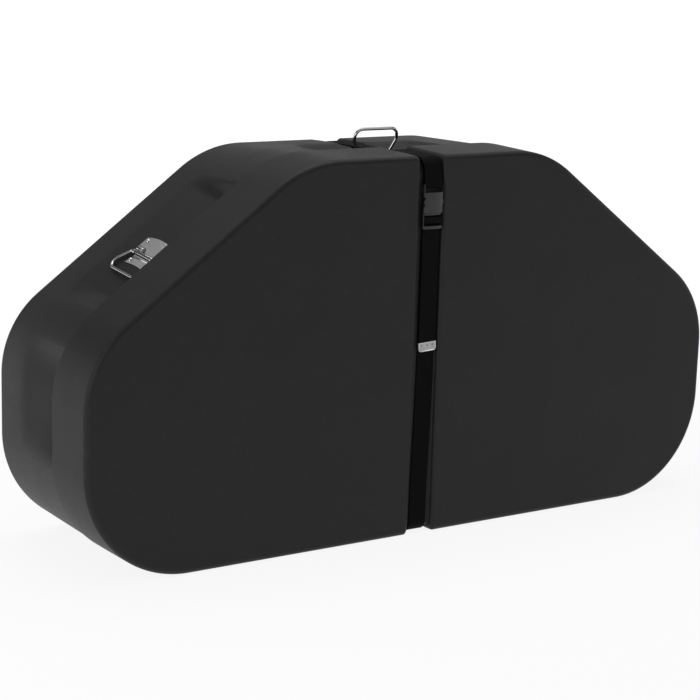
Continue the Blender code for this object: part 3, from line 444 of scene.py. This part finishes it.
def piece(name, mesh, material, body, nodes, sharp=28):
    """A finished piece of the object that stands for its nodes of the frame."""
    bm = bmesh_of(mesh)
    bmesh.ops.remove_doubles(bm, verts=bm.verts, dist=weld)
    bm.to_mesh(mesh)
    bm.free()
    mesh.materials.clear()
    mesh.materials.append(material)
    mesh.shade_smooth()
    mesh.set_sharp_from_angle(angle=radians(sharp))
    made = bpy.data.objects.new(name, mesh)
    bpy.context.scene.collection.objects.link(made)
    if body:
        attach(made, body)
    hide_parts(*nodes)
    return made


def even_shading(made):
    """Lets a shell's large faces rule the shading where they meet its rounded edges."""
    weighted = made.modifiers.new("even_shading", "WEIGHTED_NORMAL")
    weighted.keep_sharp = True


shell_plastic = moulded_plastic()
even_shading(piece("base_moulding", base_mesh, shell_plastic, "base", ["base_shell"]))

# The lid shell: the shallower half, of the same plastic, flaring a little from its front edge to a
# lip that pushes over the base's tongue.
lip_y = seam_y - lip_gap
rows = rounding(front_y, -1, lid_inset, edge_radius, 0.0)[::-1]
for k in range(4):
    a = pi / 6 * k
    y, inward = lip_y - lip_radius * (1 - sin(a)), lip_radius * (1 - cos(a))
    rows.append(outline_points(y, lid_inset(y) + inward, inward))
lid_solid = drawn(rows)
rows = rounding(front_y + wall, -1, lambda y: lid_inset(y) + wall, edge_radius - wall, wall)[::-1]
mouth_y = lip_y + overcut
rows.append(outline_points(mouth_y, lid_inset(mouth_y) + wall, wall))
hollow = carved(drawn(rows), [(channel_loop(wall, lid_inset), "DIFFERENCE")])
lid_mesh = carved(lid_solid, [
    (channel_loop(0.0, lid_inset), "DIFFERENCE"), (bmesh_of(hollow), "DIFFERENCE")])
even_shading(piece("lid_moulding", lid_mesh, shell_plastic, "lid", ["lid_shell"]))

# The foam pads: grey open-cell foam cut from 15 mm sheet and glued to the flat wall of each shell. Each
# is grooved over the strap's bed and notched where the bed turns inwards.
foam_margin, glue_gap = 0.004, 0.0003
foam_rim, foam_edge = 0.0141, 0.005
# How far in from the trimmed edge the face has swollen, and by how much
foam_swell = ((0.015, 0.0004), (0.035, 0.0008), (0.06, 0.0011), (0.09, 0.0012))


def block(low, high):
    """A plain block between two corners, for cutting with."""
    bm = bmesh.new()
    size = Vector(high) - Vector(low)
    bmesh.ops.create_cube(bm, size=1.0, matrix=Matrix.Translation((Vector(low) + Vector(high)) / 2)
                          @ Matrix.Diagonal((*size, 1)))
    return bm


def foam_pad(wall_y, inward, inset):
    """A pad with a trimmed edge and a face that swells a little towards its middle."""
    start, rim = wall_y + inward * glue_gap, wall_y + inward * foam_rim
    side, bottom = edge_radius + foam_margin, tongue_inset + wall + foam_margin
    rows = [outline_points(start, inset(start) + side, bottom)]
    for a in quarter_turn(6):
        y, more = rim - inward * foam_edge * (1 - sin(a)), foam_edge * (1 - cos(a))
        rows.append(outline_points(y, inset(y) + side + more, bottom + more))
    for more, rise in foam_swell:
        y = rim + inward * rise
        rows.append(outline_points(y, inset(y) + side + foam_edge + more, bottom + foam_edge + more))
    half = channel_width / 2 + wall + foot_radius + rim_radius + foam_margin
    bed = channel_depth + channel_corner + foam_margin
    behind, groove = wall_y - inward * overcut, start + inward * channel_depth
    notch = rim + inward * overcut
    cuts = []
    for low_z, high_z, to in ((-overcut, case_height + overcut, groove),
                              (case_height - bed, case_height + 2 * overcut, notch),
                              (-2 * overcut, bed, notch)):
        near, far = sorted((behind, to))
        cuts.append((block((-half, near, low_z), (half, far, high_z)), "DIFFERENCE"))
    return carved(drawn(rows), cuts)


def open_cell_foam():
    finish = Finish("open_cell_foam", Roughness=0.95)
    at = finish.place()
    cells = finish.node("ShaderNodeTexVoronoi", {}, {"Vector": at, "Scale": 900.0})
    uneven = finish.noise(at, 22.0, 4.0, 0.6)
    pores = finish.ramp(cells, (0.1, 0.0), (0.6, 1.0))
    colour = finish.mix(pores * 0.6 + uneven * 0.4, (0.045, 0.045, 0.046), (0.130, 0.130, 0.128))
    surface = finish.bump(uneven, 0.002, 0.4)
    finish.set({"Base Color": colour, "Normal": finish.bump(pores, 0.0007, 0.8, surface)})
    return finish.material


foam = open_cell_foam()
for half_name, wall_y, inward, inset in (
        ("base", back_y - wall, -1, base_inset), ("lid", front_y + wall, 1, lid_inset)):
    pad = piece(half_name + "_pad", foam_pad(wall_y, inward, inset), foam, half_name,
                [half_name + "_foam"])

# The webbing: black woven nylon in one length. It is sewn round the buckle's upper bar, runs once round
# the case in the channel, comes up behind the buckle's lower half and doubles back over its ladder bar.
webbing_width, webbing_thickness, webbing_offset = 0.0355, 0.0018, 0.0035
buckle_drop, buckle_thickness = 0.0475, 0.011
upper_bar, upper_slot, socket_length, halves_gap = 0.004, 0.010, 0.035, 0.0005
plug_length, plug_rim, plug_slot, ladder_bar = 0.0265, 0.0055, 0.0045, 0.0085
buckle_top = case_height - buckle_drop
plug_top = buckle_top - upper_bar - upper_slot - socket_length - halves_gap
plug_low = plug_top - plug_length
rim_top = plug_low + plug_rim
bar_low = rim_top + plug_slot
bar_top = bar_low + ladder_bar
lift = glue_gap + webbing_thickness / 2
strap_front, strap_back = front_y + channel_depth - lift, back_y - channel_depth + lift
strap_top, strap_low = case_height - channel_depth + lift, channel_depth - lift
strap_bend = channel_corner + lift
buckle_back = strap_front - webbing_thickness / 2 - glue_gap
buckle_front = buckle_back - buckle_thickness
wrap_y = buckle_back - upper_bar - glue_gap - webbing_thickness / 2
over_bar = buckle_back - 0.0075
tail_gap, tip_thickness = 0.0008, 0.0034
tail_y = strap_front - webbing_thickness / 2 - tail_gap - tip_thickness / 2
drift_from, drift_height, drift_width = 0.33, 0.30, 0.005


def drift(z):
    """The strap lies right of the channel's middle at the buckle, and works to its left lower down."""
    share = min(1.0, max(0.0, (drift_from - z) / drift_height))
    return webbing_offset - drift_width * share * share * (3 - 2 * share)


def woven_band(stops):
    """A flat band with rounded selvages along stops. Its weave's map runs across, and along in metres."""
    half, thick = webbing_width / 2, webbing_thickness / 2
    section = []
    for side in (1, -1):
        for k in range(7):
            a = pi / 2 * (k / 3 - 1)
            section.append((side * (half - thick + thick * cos(a)), side * thick * sin(a)))
    rows = []
    for place, normal, gone in stops:
        rows.append([Vector((drift(place.y) + x, *(place + normal * up))) for x, up in section])
    bm = drawn(rows)
    weave = bm.loops.layers.uv.new("weave")
    number, line = bm.verts.layers.int["number"], bm.verts.layers.int["row"]
    for face in bm.faces:
        for corner in face.loops:
            across = section[corner.vert[number]][0]
            corner[weave].uv = (across / webbing_width + 0.5, stops[corner.vert[line]][2])
    mesh = bpy.data.meshes.new("band")
    bm.to_mesh(mesh)
    bm.free()
    return mesh


def woven_nylon():
    """Ribs across the band, each a staggered row of yarn crowns, flatter along the two selvages."""
    finish = Finish("woven_nylon", Specular_IOR_Level=0.08)
    weave = finish.node("ShaderNodeUVMap", {"uv_map": "weave"})
    apart = finish.node("ShaderNodeSeparateXYZ", {}, {"Vector": weave})
    across = apart
    along = Value(finish, apart.socket.node.outputs[1])
    column = across * 30.0
    stagger = column.whole().maths("MODULO", column.whole(), 2.0)
    yarn = (column * pi).sine().size()
    pick = ((along * (1 / 0.0026) + stagger * 0.5) * pi).sine().size()
    crown = yarn ** 0.5 * (pick * 0.7 + 0.3)
    middle = (across - 0.5).size()
    selvage = finish.ramp(middle, (0.455, 1.0), (0.47, 0.0))
    fuzz = finish.noise(finish.place(), 900.0, 3.0, 0.7)
    fade = finish.noise(finish.place(), 28.0, 3.0)
    colour = finish.mix(crown * 0.7 + fade * 0.3, (0.0022, 0.0022, 0.0023), (0.0074, 0.0074, 0.0076))
    colour = finish.mix(selvage, (0.0042, 0.0042, 0.0043), colour)
    height = crown * (selvage * 0.6 + 0.4) + fuzz * 0.25
    finish.set({"Base Color": colour, "Roughness": fuzz * 0.2 + 0.66,
                "Normal": finish.bump(height, 0.0004, 0.9)})
    return finish.material


nylon = woven_nylon()
# The webbing rides up over the lid's lip and hangs a little slack under the case
raised, sunk = 0.0045, 0.0055
bar_turn, ladder_turn, rim_turn = (strap_front - wrap_y) / 2, 0.0018, 0.0015
loop_top, wrap_low = bar_top + 0.0022, buckle_top - upper_bar - bar_turn
sewn_end, ladder_end = (strap_front, buckle_top + 0.022), (tail_y, plug_low)
# Where the webbing bends, as (y, z), and the radius of each bend
loop_bends = [
    ((strap_front, wrap_low), bar_turn),
    ((wrap_y, wrap_low), bar_turn),
    ((wrap_y, buckle_top + 0.002), 0.002),
    ((strap_front, strap_top + raised), lid_top_bend),
    ((seam_y - 0.002, strap_top + raised + 0.001), 0.008),
    ((seam_y + 0.016, strap_top), 0.008),
    ((strap_back, strap_top), strap_bend),
    ((strap_back, strap_low - sunk), strap_bend),
    ((strap_front, strap_low - sunk), 0.018),
    ((strap_front, loop_top), ladder_turn),
    ((over_bar, loop_top), ladder_turn),
    ((over_bar, bar_low), rim_turn),
    ((tail_y, rim_top + 0.00075), rim_turn)]
loop_stops = follow([sewn_end] + [corner for corner, radius in loop_bends] + [ladder_end],
                    [radius for corner, radius in loop_bends], turn=radians(6), run=0.012)
band = piece("strap_loop", woven_band(loop_stops), nylon, None,
             ["strap_base", "strap_lid_upper", "strap_lid_lower"])
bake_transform(band)

# The tail: the free end of the same webbing, hanging in front of the strap below the buckle.
tail_length, tip_length = 0.211, 0.0155
tail_top = plug_low - 2 * glue_gap
tip_low = tail_top - tail_length
tail_stops = follow([(tail_y, tail_top + glue_gap), (tail_y, tip_low + tip_length / 2)], [], run=0.01)
piece("strap_end", woven_band(tail_stops), nylon, "tail", ["strap_tail"])

# The tip: a cap of nickel-plated steel folded over the tail's end and clenched by six dents. Its lower
# corners are round, its two faces have a raised frame, and it hangs a little askew.
tip_half, tip_corner = webbing_width / 2 + 0.0002, 0.005
frame_width, frame_height = 0.0022, 0.0003
dent_radius, dent_below_edge, dent_above_face = 0.0022, 0.0052, 0.0012
tip_skew = radians(-3)


def outline_solid(points, low, high):
    """A flat outline raised to a solid between two heights."""
    return drawn([[Vector((x, y, height)) for x, y in points] for height in (low, high)])


def quarter(centre, radius, start, count=6):
    """Points of a quarter of a circle, from an angle in quarter turns."""
    turns = [pi / 2 * (start + k / count) for k in range(count + 1)]
    return [(centre[0] + radius * cos(a), centre[1] + radius * sin(a)) for a in turns]


def softened(bm, width, over=30, segments=3, where=lambda edge: True):
    """Rounds the edges that are sharper than an angle."""
    edges = [edge for edge in bm.edges if len(edge.link_faces) == 2 and where(edge)
             and edge.calc_face_angle(0.0) > radians(over)]
    bmesh.ops.bevel(bm, geom=edges, offset=width, offset_type="OFFSET", segments=segments, profile=0.5,
                    affect="EDGES", clamp_overlap=True, material=-1)
    return bm


def made_whole(mesh):
    """A carved mesh as a bmesh with its flat faces in one piece."""
    bm = bmesh_of(mesh)
    bmesh.ops.remove_doubles(bm, verts=bm.verts, dist=2 * weld)
    bmesh.ops.dissolve_limit(bm, angle_limit=radians(1), verts=bm.verts, edges=bm.edges)
    return bm


def mesh_of(bm, matrix=None):
    """A bmesh as a mesh, with its place in it."""
    if matrix:
        bmesh.ops.transform(bm, matrix=matrix, verts=bm.verts)
    bmesh.ops.recalc_face_normals(bm, faces=bm.faces)
    mesh = bpy.data.meshes.new("made")
    bm.to_mesh(mesh)
    bm.free()
    return mesh


def pressed_steel(name, colour, rough, scratch, edge_wear_and_highlight=None):
    """Finely scratched bright metal, duller in patches. A given edge colour is wear plus painted highlight.
    """
    finish = Finish(name, Metallic=1.0, Specular_Tint=0.12)
    at = finish.place()
    drawn_out = finish.node("ShaderNodeMapping", {}, {"Vector": at, "Scale": (1.0, 0.15, 1.0)})
    streaks = finish.noise(drawn_out, 700.0, 4.0)
    slow = finish.noise(at, 70.0, 3.0)
    worn = finish.ramp(finish.noise(at, 260.0, 5.0, 0.7), (0.56, 0.0), (0.72, 1.0))
    shade = finish.mix(slow * 0.5 + worn * 0.5, colour, tuple(part * 0.72 for part in colour))
    if edge_wear_and_highlight:
        # Edges that stick out are painted brighter: partly polished by wear, partly a painted highlight.
        shade = finish.mix(finish.ramp(finish.bulge(), (0.505, 0.0), (0.56, 1.0)), shade, edge_wear_and_highlight)
    finish.set({"Base Color": shade, "Roughness": slow * scratch + worn * scratch + rough,
                "Normal": finish.bump(streaks, 0.00004, scratch * 1.5, finish.bump(slow, 0.00012, 0.12))})
    return finish.material


# The nickel's edges are painted near white: partly worn bright, partly a painted highlight.
nickel = pressed_steel("nickel_plated_steel", (0.34, 0.34, 0.34), 0.24, 0.2, (0.92, 0.92, 0.93))
tip_outline = quarter((tip_corner - tip_half, tip_corner), tip_corner, 2)
tip_outline += quarter((tip_half - tip_corner, tip_corner), tip_corner, 3)
tip_outline += [(tip_half, tip_length), (-tip_half, tip_length)]
cap = outline_solid(tip_outline, -tip_thickness / 2, tip_thickness / 2)
faces = [face for face in cap.faces if abs(face.normal.z) > 0.9]
bmesh.ops.inset_individual(cap, faces=faces, thickness=frame_width, depth=-frame_height,
                           use_even_offset=True)
dents = []
for x in (-0.011, 0.0, 0.011):
    for side in (-1, 1):
        dent = bmesh.new()
        centre = (x, tip_length - dent_below_edge, side * (tip_thickness / 2 + dent_above_face))
        bmesh.ops.create_uvsphere(dent, u_segments=16, v_segments=8, radius=dent_radius,
                                  matrix=Matrix.Translation(centre))
        dents.append((dent, "DIFFERENCE"))
cap = softened(made_whole(carved(cap, dents)), 0.0005, over=50)
cap_middle = Vector((0, 0, tip_length / 2))
askew = Matrix.Translation(cap_middle) @ Matrix.Rotation(tip_skew, 4, "Y") @ Matrix.Translation(-cap_middle)
stood_up = Matrix.Rotation(pi / 2, 4, "X")
hung = Matrix.Translation((webbing_offset, tail_y, tip_low)) @ askew @ stood_up
piece("tip_cap", mesh_of(cap, hung), nickel, "tail", ["strap_tip"])

# The side-release buckle: black acetal, moulded in two halves. The plug's two sprung prongs click into
# the socket's side windows, and both halves lie in the channel on the webbing.
buckle_half = 0.0405 / 2
front_depth, bow_strips = 0.0035, 9


def node_copy(name):
    """A working copy of a node, its loose triangles joined and its flat faces in one piece."""
    return made_whole(bpy.data.objects[name].data)


def crowned(bm, rise, edge):
    """The front face falls back from the buckle's middle by rise, and by edge more close to its sides."""
    for k in range(-(bow_strips // 2), bow_strips // 2 + 1):
        cut_at = webbing_offset + buckle_half * k / (bow_strips / 2)
        bmesh.ops.bisect_plane(bm, geom=bm.verts[:] + bm.edges[:] + bm.faces[:], dist=1e-7,
                               plane_co=(cut_at, 0, 0), plane_no=(1, 0, 0))
    for vert in bm.verts:
        if vert.co.y < buckle_front + front_depth:
            fall = (vert.co.x - webbing_offset) / buckle_half
            vert.co.y += rise * fall ** 2 + edge * fall ** 8
    return bm


def moulded_acetal():
    """Black plastic from a polished mould: fine spark texture, faint flow marks and rubbed edges."""
    finish = Finish("moulded_acetal", IOR=1.48)
    at = finish.place()
    grain, flow = finish.noise(at, 2200.0, 3.0), finish.noise(at, 45.0, 2.0)
    worn = finish.ramp(finish.bulge() * 0.7 + finish.noise(at, 300.0, 4.0) * 0.3, (0.53, 0.0), (0.62, 1.0))
    colour = finish.mix(worn * 0.7 + flow * 0.3, (0.0120, 0.0120, 0.0125), (0.0200, 0.0198, 0.0195))
    finish.set({"Base Color": colour, "Roughness": flow * 0.16 + worn * 0.1 + 0.30,
                "Normal": finish.bump(grain, 0.00006, 0.5, finish.bump(flow, 0.0004, 0.2))})
    return finish.material


acetal = moulded_acetal()
for node, body, rounded, rise, edge in (
        ("buckle_socket", "lid", 0.0005, 0.0038, 0.0), ("buckle_plug", "lid", 0.0005, 0.0030, 0.0032),
        ("buckle_prong_left", "prong_left", 0.0004, 0.0, 0.0),
        ("buckle_prong_right", "prong_right", 0.0004, 0.0, 0.0)):
    moulding = softened(node_copy(node), rounded, over=35)
    if rise:
        moulding = crowned(moulding, rise, edge)
    piece(node.replace("buckle_", "moulded_"), mesh_of(moulding), acetal, body, [node], sharp=38)

# The handles: a bail of chrome-plated steel wire under a pressed plate, riveted through the shell over
# washers. One stands on the top, leaning to the front, and one lies folded on each slope.
wire, sheet = 0.0028, 0.0014
bore = wire + 0.0005
barrel_outer, barrel_half, axle_height = bore + sheet, 0.027, bore + glue_gap
upper_length, upper_half, upper_crown = 0.0415, 0.034, 0.006
lower_length, lower_half, waist_half, lower_hollow = 0.0215, 0.028, 0.0195, 0.003
handle_y, side_handle_along = seam_y + 0.066, 0.2283
rivet_inset, washer_thickness = 0.006, 0.0012
rivet_places = [(side * (upper_half - rivet_inset), upper_length - upper_crown - rivet_inset)
                for side in (-1, 1)]
rivet_places += [(side * (lower_half - rivet_inset), rivet_inset - lower_length) for side in (-1, 1)]


def handle_place(kind):
    """A handle's own axes: X along its barrel, Y towards its upper wing, Z out of the case."""
    floor_inset = base_inset(pocket_back_y) + tan(pocket_tilt) * (pocket_back_y - handle_y)
    if kind == "top":
        point, out = Vector((0, handle_y, case_height)), Vector((0, 0, 1))
        upper = out * sin(pocket_tilt) + Vector((0, 1, 0)) * cos(pocket_tilt)
    else:
        side = -1 if kind == "left" else 1
        upper = Vector((-side * cos(slope_angle), 0, sin(slope_angle)))
        out = Vector((side * sin(slope_angle), 0, cos(slope_angle)))
        point = Vector((side * case_width / 2, handle_y, end_height)) + upper * side_handle_along
    point = point - out * (floor_inset - glue_gap)
    normal = out * cos(pocket_tilt) - Vector((0, 1, 0)) * sin(pocket_tilt)
    place = Matrix((upper.cross(normal), upper, normal)).transposed().to_4x4()
    place.translation = point
    return place


def over_axle(radius, start, end, count=12, y=0.0, z=0.0):
    """Points of an arc about the bail's axle, from one angle to another, in degrees."""
    turns = [radians(start + (end - start) * k / count) for k in range(count + 1)]
    return [(y + radius * cos(a), axle_height + z + radius * sin(a)) for a in turns]


def along_barrel(section, start, end):
    """A section across the barrel drawn along it from start to end."""
    return drawn([[Vector((x, y, z)) for y, z in section] for x in (start, end)])


def plate():
    """The pressed plate: two wings, the open barrel with its two knuckles, the stepped root and a loop."""
    fillet, ledge, past, crown_steps, hole_radius = 0.0011, 0.0016, 0.05, 16, 0.0023
    top, low, back, waist = barrel_outer + fillet, sheet + ledge, barrel_outer + 0.001, waist_half + 0.0006
    section = [(past, sheet)]
    section += [(top - fillet * sin(a), sheet + fillet * (1 - cos(a))) for a in (0, 0.5, 1.05)]
    section += over_axle(barrel_outer, 0, 78)
    section += over_axle(bore, 78, 0) + [(bore, 0.0), (past, 0.0)]
    body = along_barrel(section, -past, past)
    # The lower wing's root steps up to a ledge beside the wire
    section = [(-0.0036, low - 0.0006), (-0.0042, low), (-0.0070, low), (-0.0075, low - 0.0002),
               (-0.0083, sheet + 0.0002), (-0.0088, sheet), (-0.04, sheet), (-0.04, 0.0), (-0.0036, 0.0)]
    root = along_barrel(section, -past, past)
    base_strip = block((-past, -0.0040, 0.0), (past, 0.0040, 0.00028))
    outline = [(barrel_half, back), (upper_half, back)]
    for x in (upper_half - 2 * upper_half * k / crown_steps for k in range(crown_steps + 1)):
        outline.append((x, upper_length - upper_crown * (x / upper_half) ** 2))
    outline += [(-upper_half, back), (-barrel_half, back)]
    outline += [(-barrel_half, -barrel_outer), (-waist, -barrel_outer)]
    for x in (2 * lower_half * k / crown_steps - lower_half for k in range(crown_steps + 1)):
        outline.append((x, -lower_length - lower_hollow * (x / lower_half) ** 2))
    outline += [(waist, -barrel_outer), (barrel_half, -barrel_outer)]
    shape = outline_solid(outline, -overcut, 2 * overcut)
    softened(shape, 0.0016, over=40, segments=4,
             where=lambda edge: abs(edge.verts[0].co.z - edge.verts[1].co.z) > 0.02)
    cuts = [(root, "UNION"), (base_strip, "UNION"), (shape, "INTERSECT")]
    knuckle_width = 0.0045
    knuckle = over_axle(barrel_outer, 70, 180) + [(-barrel_outer, 0.001), (-bore, 0.001)]
    knuckle += over_axle(bore, 180, 70)
    for x in (-barrel_half, barrel_half - knuckle_width):
        cuts.append((along_barrel(knuckle, x, x + knuckle_width), "UNION"))
    # A rolled loop stands on the upper wing, at the barrel's left end
    loop_y, loop_drop, loop_outer, loop_inner, loop_end = 0.0098, -0.0022, 0.0050, 0.0036, -0.0125
    loop = over_axle(loop_outer, -4, 184, 14, loop_y, loop_drop)
    loop += over_axle(loop_inner, 184, -4, 14, loop_y, loop_drop)
    cuts.append((along_barrel(loop, -barrel_half, loop_end), "UNION"))
    for x, y in rivet_places:
        hole = bmesh.new()
        bmesh.ops.create_cone(hole, cap_ends=True, segments=20, radius1=hole_radius, radius2=hole_radius,
                              depth=0.01, matrix=Matrix.Translation((x, y, 0)))
        cuts.append((hole, "DIFFERENCE"))
    return softened(made_whole(carved(body, cuts)), 0.00028, over=40)


def bail():
    """A loop of wire: the axle under the barrel, the flaring legs and the rounded crossbar."""
    foot, shoulder, length, drop = 0.033, 0.044, 0.0445, 0.020
    half = follow([(0, 0), (foot, 0), (shoulder, length - drop), (shoulder, length), (0, length)],
                  [0.005, 0.010, 0.0145], turn=radians(7), run=0.006)
    stops = [(place, normal) for place, normal, gone in half]
    for place, normal in stops[-2:0:-1]:
        stops.append((Vector((-place.x, place.y)), Vector((-normal.x, normal.y))))
    turns = [2 * pi * k / 16 for k in range(16)]
    rows = [[Vector((*(place + normal * (wire * cos(a))), wire * sin(a))) for a in turns]
            for place, normal in stops]
    return drawn(rows, caps=False, loop=True)


def turned(profile, matrix=Matrix.Identity(4)):
    """A profile of (radius, height) spun once round, at a place."""
    bm = bmesh.new()
    verts = [bm.verts.new((radius, 0, height)) for radius, height in profile]
    edges = [bm.edges.new(pair) for pair in zip(verts, verts[1:])]
    bmesh.ops.spin(bm, geom=verts + edges, cent=(0, 0, 0), axis=(0, 0, 1), angle=2 * pi, steps=24,
                   use_merge=True)
    bmesh.ops.remove_doubles(bm, verts=bm.verts, dist=weld)
    bmesh.ops.transform(bm, matrix=matrix, verts=bm.verts)
    bmesh.ops.recalc_face_normals(bm, faces=bm.faces)
    return bm


def joined(parts):
    """Several separate solids in one mesh."""
    whole = bmesh.new()
    for part in parts:
        mesh = bpy.data.meshes.new("part")
        part.to_mesh(mesh)
        part.free()
        whole.from_mesh(mesh)
        bpy.data.meshes.remove(mesh)
    return whole


def rivet_profile():
    """A rivet's outline: a chamfered tail on the washer, the shank, and a domed head on the plate."""
    seat, head = -glue_gap - wall - 2 * glue_gap - washer_thickness, sheet + glue_gap
    shank, tail_radius, tail_height, head_radius = 0.002, 0.0032, 0.0012, 0.0036
    dome = [(head_radius * cos(a), head + 0.0003 + 0.0011 * sin(a)) for a in quarter_turn(7)]
    tail = [(0, seat - tail_height), (0.0028, seat - tail_height), (tail_radius, seat - 0.0008),
            (tail_radius, seat), (shank, seat)]
    return tail + [(shank, head), (0.0034, head), (head_radius, head + 0.0002)] + dome[:-1] + [
        (0, head + 0.0014)]


def washer_profile():
    """A flat ring under the shell's wall, its outer corners chamfered."""
    high = -glue_gap - wall - glue_gap
    low = high - washer_thickness
    hole, rim, chamfer = 0.0023, 0.0065, 0.0002
    return [(hole, low), (0.0063, low), (rim, low + chamfer), (rim, high - chamfer), (0.0063, high),
            (hole, high), (hole, low)]


def placed(mesh, matrix):
    """A copy of a mesh at its place."""
    copy = mesh.copy()
    copy.transform(matrix)
    return copy


plate_blank, bail_blank = mesh_of(plate()), mesh_of(bail())
chrome = pressed_steel("chrome_plated_steel", (0.90, 0.90, 0.91), 0.06, 0.06)
drawn_wire = pressed_steel("chrome_plated_wire", (0.60, 0.60, 0.61), 0.06, 0.04)
zinc = pressed_steel("zinc_plated_steel", (0.50, 0.50, 0.49), 0.32, 0.2)
top_lean, side_rise = 15, 2.5
for kind in ("top", "left", "right"):
    place = handle_place(kind)
    rest = radians(90 + top_lean) - pocket_tilt if kind == "top" else radians(180 - side_rise)
    swung = place @ Matrix.Translation((0, 0, axle_height)) @ Matrix.Rotation(rest, 4, "X")
    seats = [place @ Matrix.Translation((x, y, 0)) for x, y in rivet_places]
    name = kind + "_handle_"
    piece(kind + "_plate", placed(plate_blank, place), chrome, "base", [name + "plate"])
    piece(kind + "_wire", placed(bail_blank, swung), drawn_wire, kind + "_bail", [name + "bail"])
    rivets = joined([turned(rivet_profile(), seat) for seat in seats])
    washers = joined([turned(washer_profile(), seat) for seat in seats])
    piece(kind + "_rivets", mesh_of(rivets), chrome, "base",
          [f"{name}rivet_{k}" for k in range(1, 5)])
    piece(kind + "_washers", mesh_of(washers), zinc, "base",
          [f"{name}washer_{k}" for k in range(1, 5)])

# The stage: a round white backdrop whose floor keeps the case's shadow, soft studio light from above and
# from the left, three black cards that only reflections show, and the camera.
floor_radius, cove_radius, backdrop_top = 12, 3, 4.2
cove = [(0, 0), (2, 0), (6, 0), (floor_radius, 0)]
for a in (pi / 12 * k for k in range(1, 7)):
    cove.append((floor_radius + cove_radius * sin(a), cove_radius - cove_radius * cos(a)))
backdrop_mesh = mesh_of(turned(cove + [(floor_radius + cove_radius, backdrop_top)]))
backdrop_mesh.shade_smooth()
backdrop = bpy.data.objects.new("backdrop", backdrop_mesh)
bpy.context.scene.collection.objects.link(backdrop)
# Seen directly, in a reflection or through glass, the paper glows white. Within 1.2 m some lit paper
# shows through, which keeps the case's shadow. To all other rays it is plain paper.
paper = Finish("paper", Base_Color=0.86, Roughness=0.9, Specular_IOR_Level=0.0)
rays = paper.node("ShaderNodeLightPath").socket.node
camera_ray, glossy_ray, clear_ray = (
    Value(paper, rays.outputs[name]) for name in ("Is Camera Ray", "Is Glossy Ray", "Is Transmission Ray"))
away = paper.node("ShaderNodeVectorMath", {"operation": "LENGTH"}, {"Vector": paper.place()}, out=1)
far = paper.ramp(away * 0.25, (0.30, 0.82), (0.75, 1.0))
lit = Value(paper, paper.shader.outputs[0])
glow = paper.node("ShaderNodeEmission", {}, {"Color": 1.0, "Strength": 1.08})
glowing = (camera_ray + glossy_ray + clear_ray) * far
blend = paper.node("ShaderNodeMixShader", {}, {0: glowing, 1: lit, 2: glow})
paper.tree.links.new(blend.socket, paper.tree.nodes["Material Output"].inputs[0])
backdrop_mesh.materials.append(paper.material)

world = bpy.data.worlds.new("studio")
world.use_nodes = True
bpy.context.scene.world = world
around = world.node_tree.nodes["Background"]
around.inputs["Color"].default_value = (1, 1, 1, 1)
around.inputs["Strength"].default_value = 0.30
black = Finish("black_card", Base_Color=0.0, Roughness=1.0, Specular_IOR_Level=0.0)


def flag(name, place, aim, size):
    """A black card that only reflections show, for the dark lines in the chrome."""
    bm = bmesh.new()
    bmesh.ops.create_grid(bm, x_segments=1, y_segments=1, size=0.5, matrix=Matrix.Diagonal((*size, 1, 1)))
    mesh = mesh_of(bm)
    mesh.materials.append(black.material)
    card = bpy.data.objects.new(name, mesh)
    towards = (Vector(aim) - Vector(place)).to_track_quat("Z", "Y")
    card.matrix_world = Matrix.Translation(place) @ towards.to_matrix().to_4x4()
    for ray in ("camera", "diffuse", "transmission", "shadow"):
        setattr(card, "visible_" + ray, False)
    bpy.context.scene.collection.objects.link(card)


flag("card_behind", (0.75, 1.2, 0.36), (0, 0, 0.66), (1.1, 0.5))
flag("card_on_the_left", (-1.6, 1.7, 1.35), (-0.45, 0, 0.5), (1.3, 1.1))
flag("card_by_the_camera", (-1.45, -1.95, 1.35), (0, 0, 0.6), (1.3, 1.5))


def lamp(name, place, aim, size, power):
    data = bpy.data.lights.new(name, "AREA")
    data.shape, data.size, data.size_y, data.energy = "RECTANGLE", size[0], size[1], power
    made = bpy.data.objects.new(name, data)
    made.location = place
    made.rotation_euler = (Vector(aim) - Vector(place)).to_track_quat("-Z", "Y").to_euler()
    bpy.context.scene.collection.objects.link(made)


lamp("overhead", (0.4, 0.6, 3.2), (0, 0, 0.3), (3.2, 1.6), 34)
lamp("from_the_left", (-3.2, -0.8, 1.6), (0, 0, 0.3), (1.2, 2.0), 22)

# The camera as it was fitted to the case's outline, with its focal length in pixels of the photo
yaw, pitch, roll = 0.58975, 0.21493, 0.02945
focal_pixels, photo_pixels = 1957.96, 700
ahead = Vector((sin(yaw) * cos(pitch), cos(yaw) * cos(pitch), -sin(pitch)))
level = Vector((cos(yaw), -sin(yaw), 0))
upright = level.cross(ahead)
right = level * cos(roll) + upright * sin(roll)
up = upright * cos(roll) - level * sin(roll)
lens = bpy.data.cameras.new("camera")
lens.sensor_width = 36.0
lens.lens = focal_pixels / photo_pixels * lens.sensor_width
camera = bpy.data.objects.new("camera", lens)
camera.matrix_world = Matrix((right, up, -ahead)).transposed().to_4x4()
camera.location = (-1.92572, -2.81421, 1.03693)
bpy.context.scene.collection.objects.link(camera)
bpy.context.scene.camera = camera
bpy.context.scene.view_settings.view_transform = "Standard"
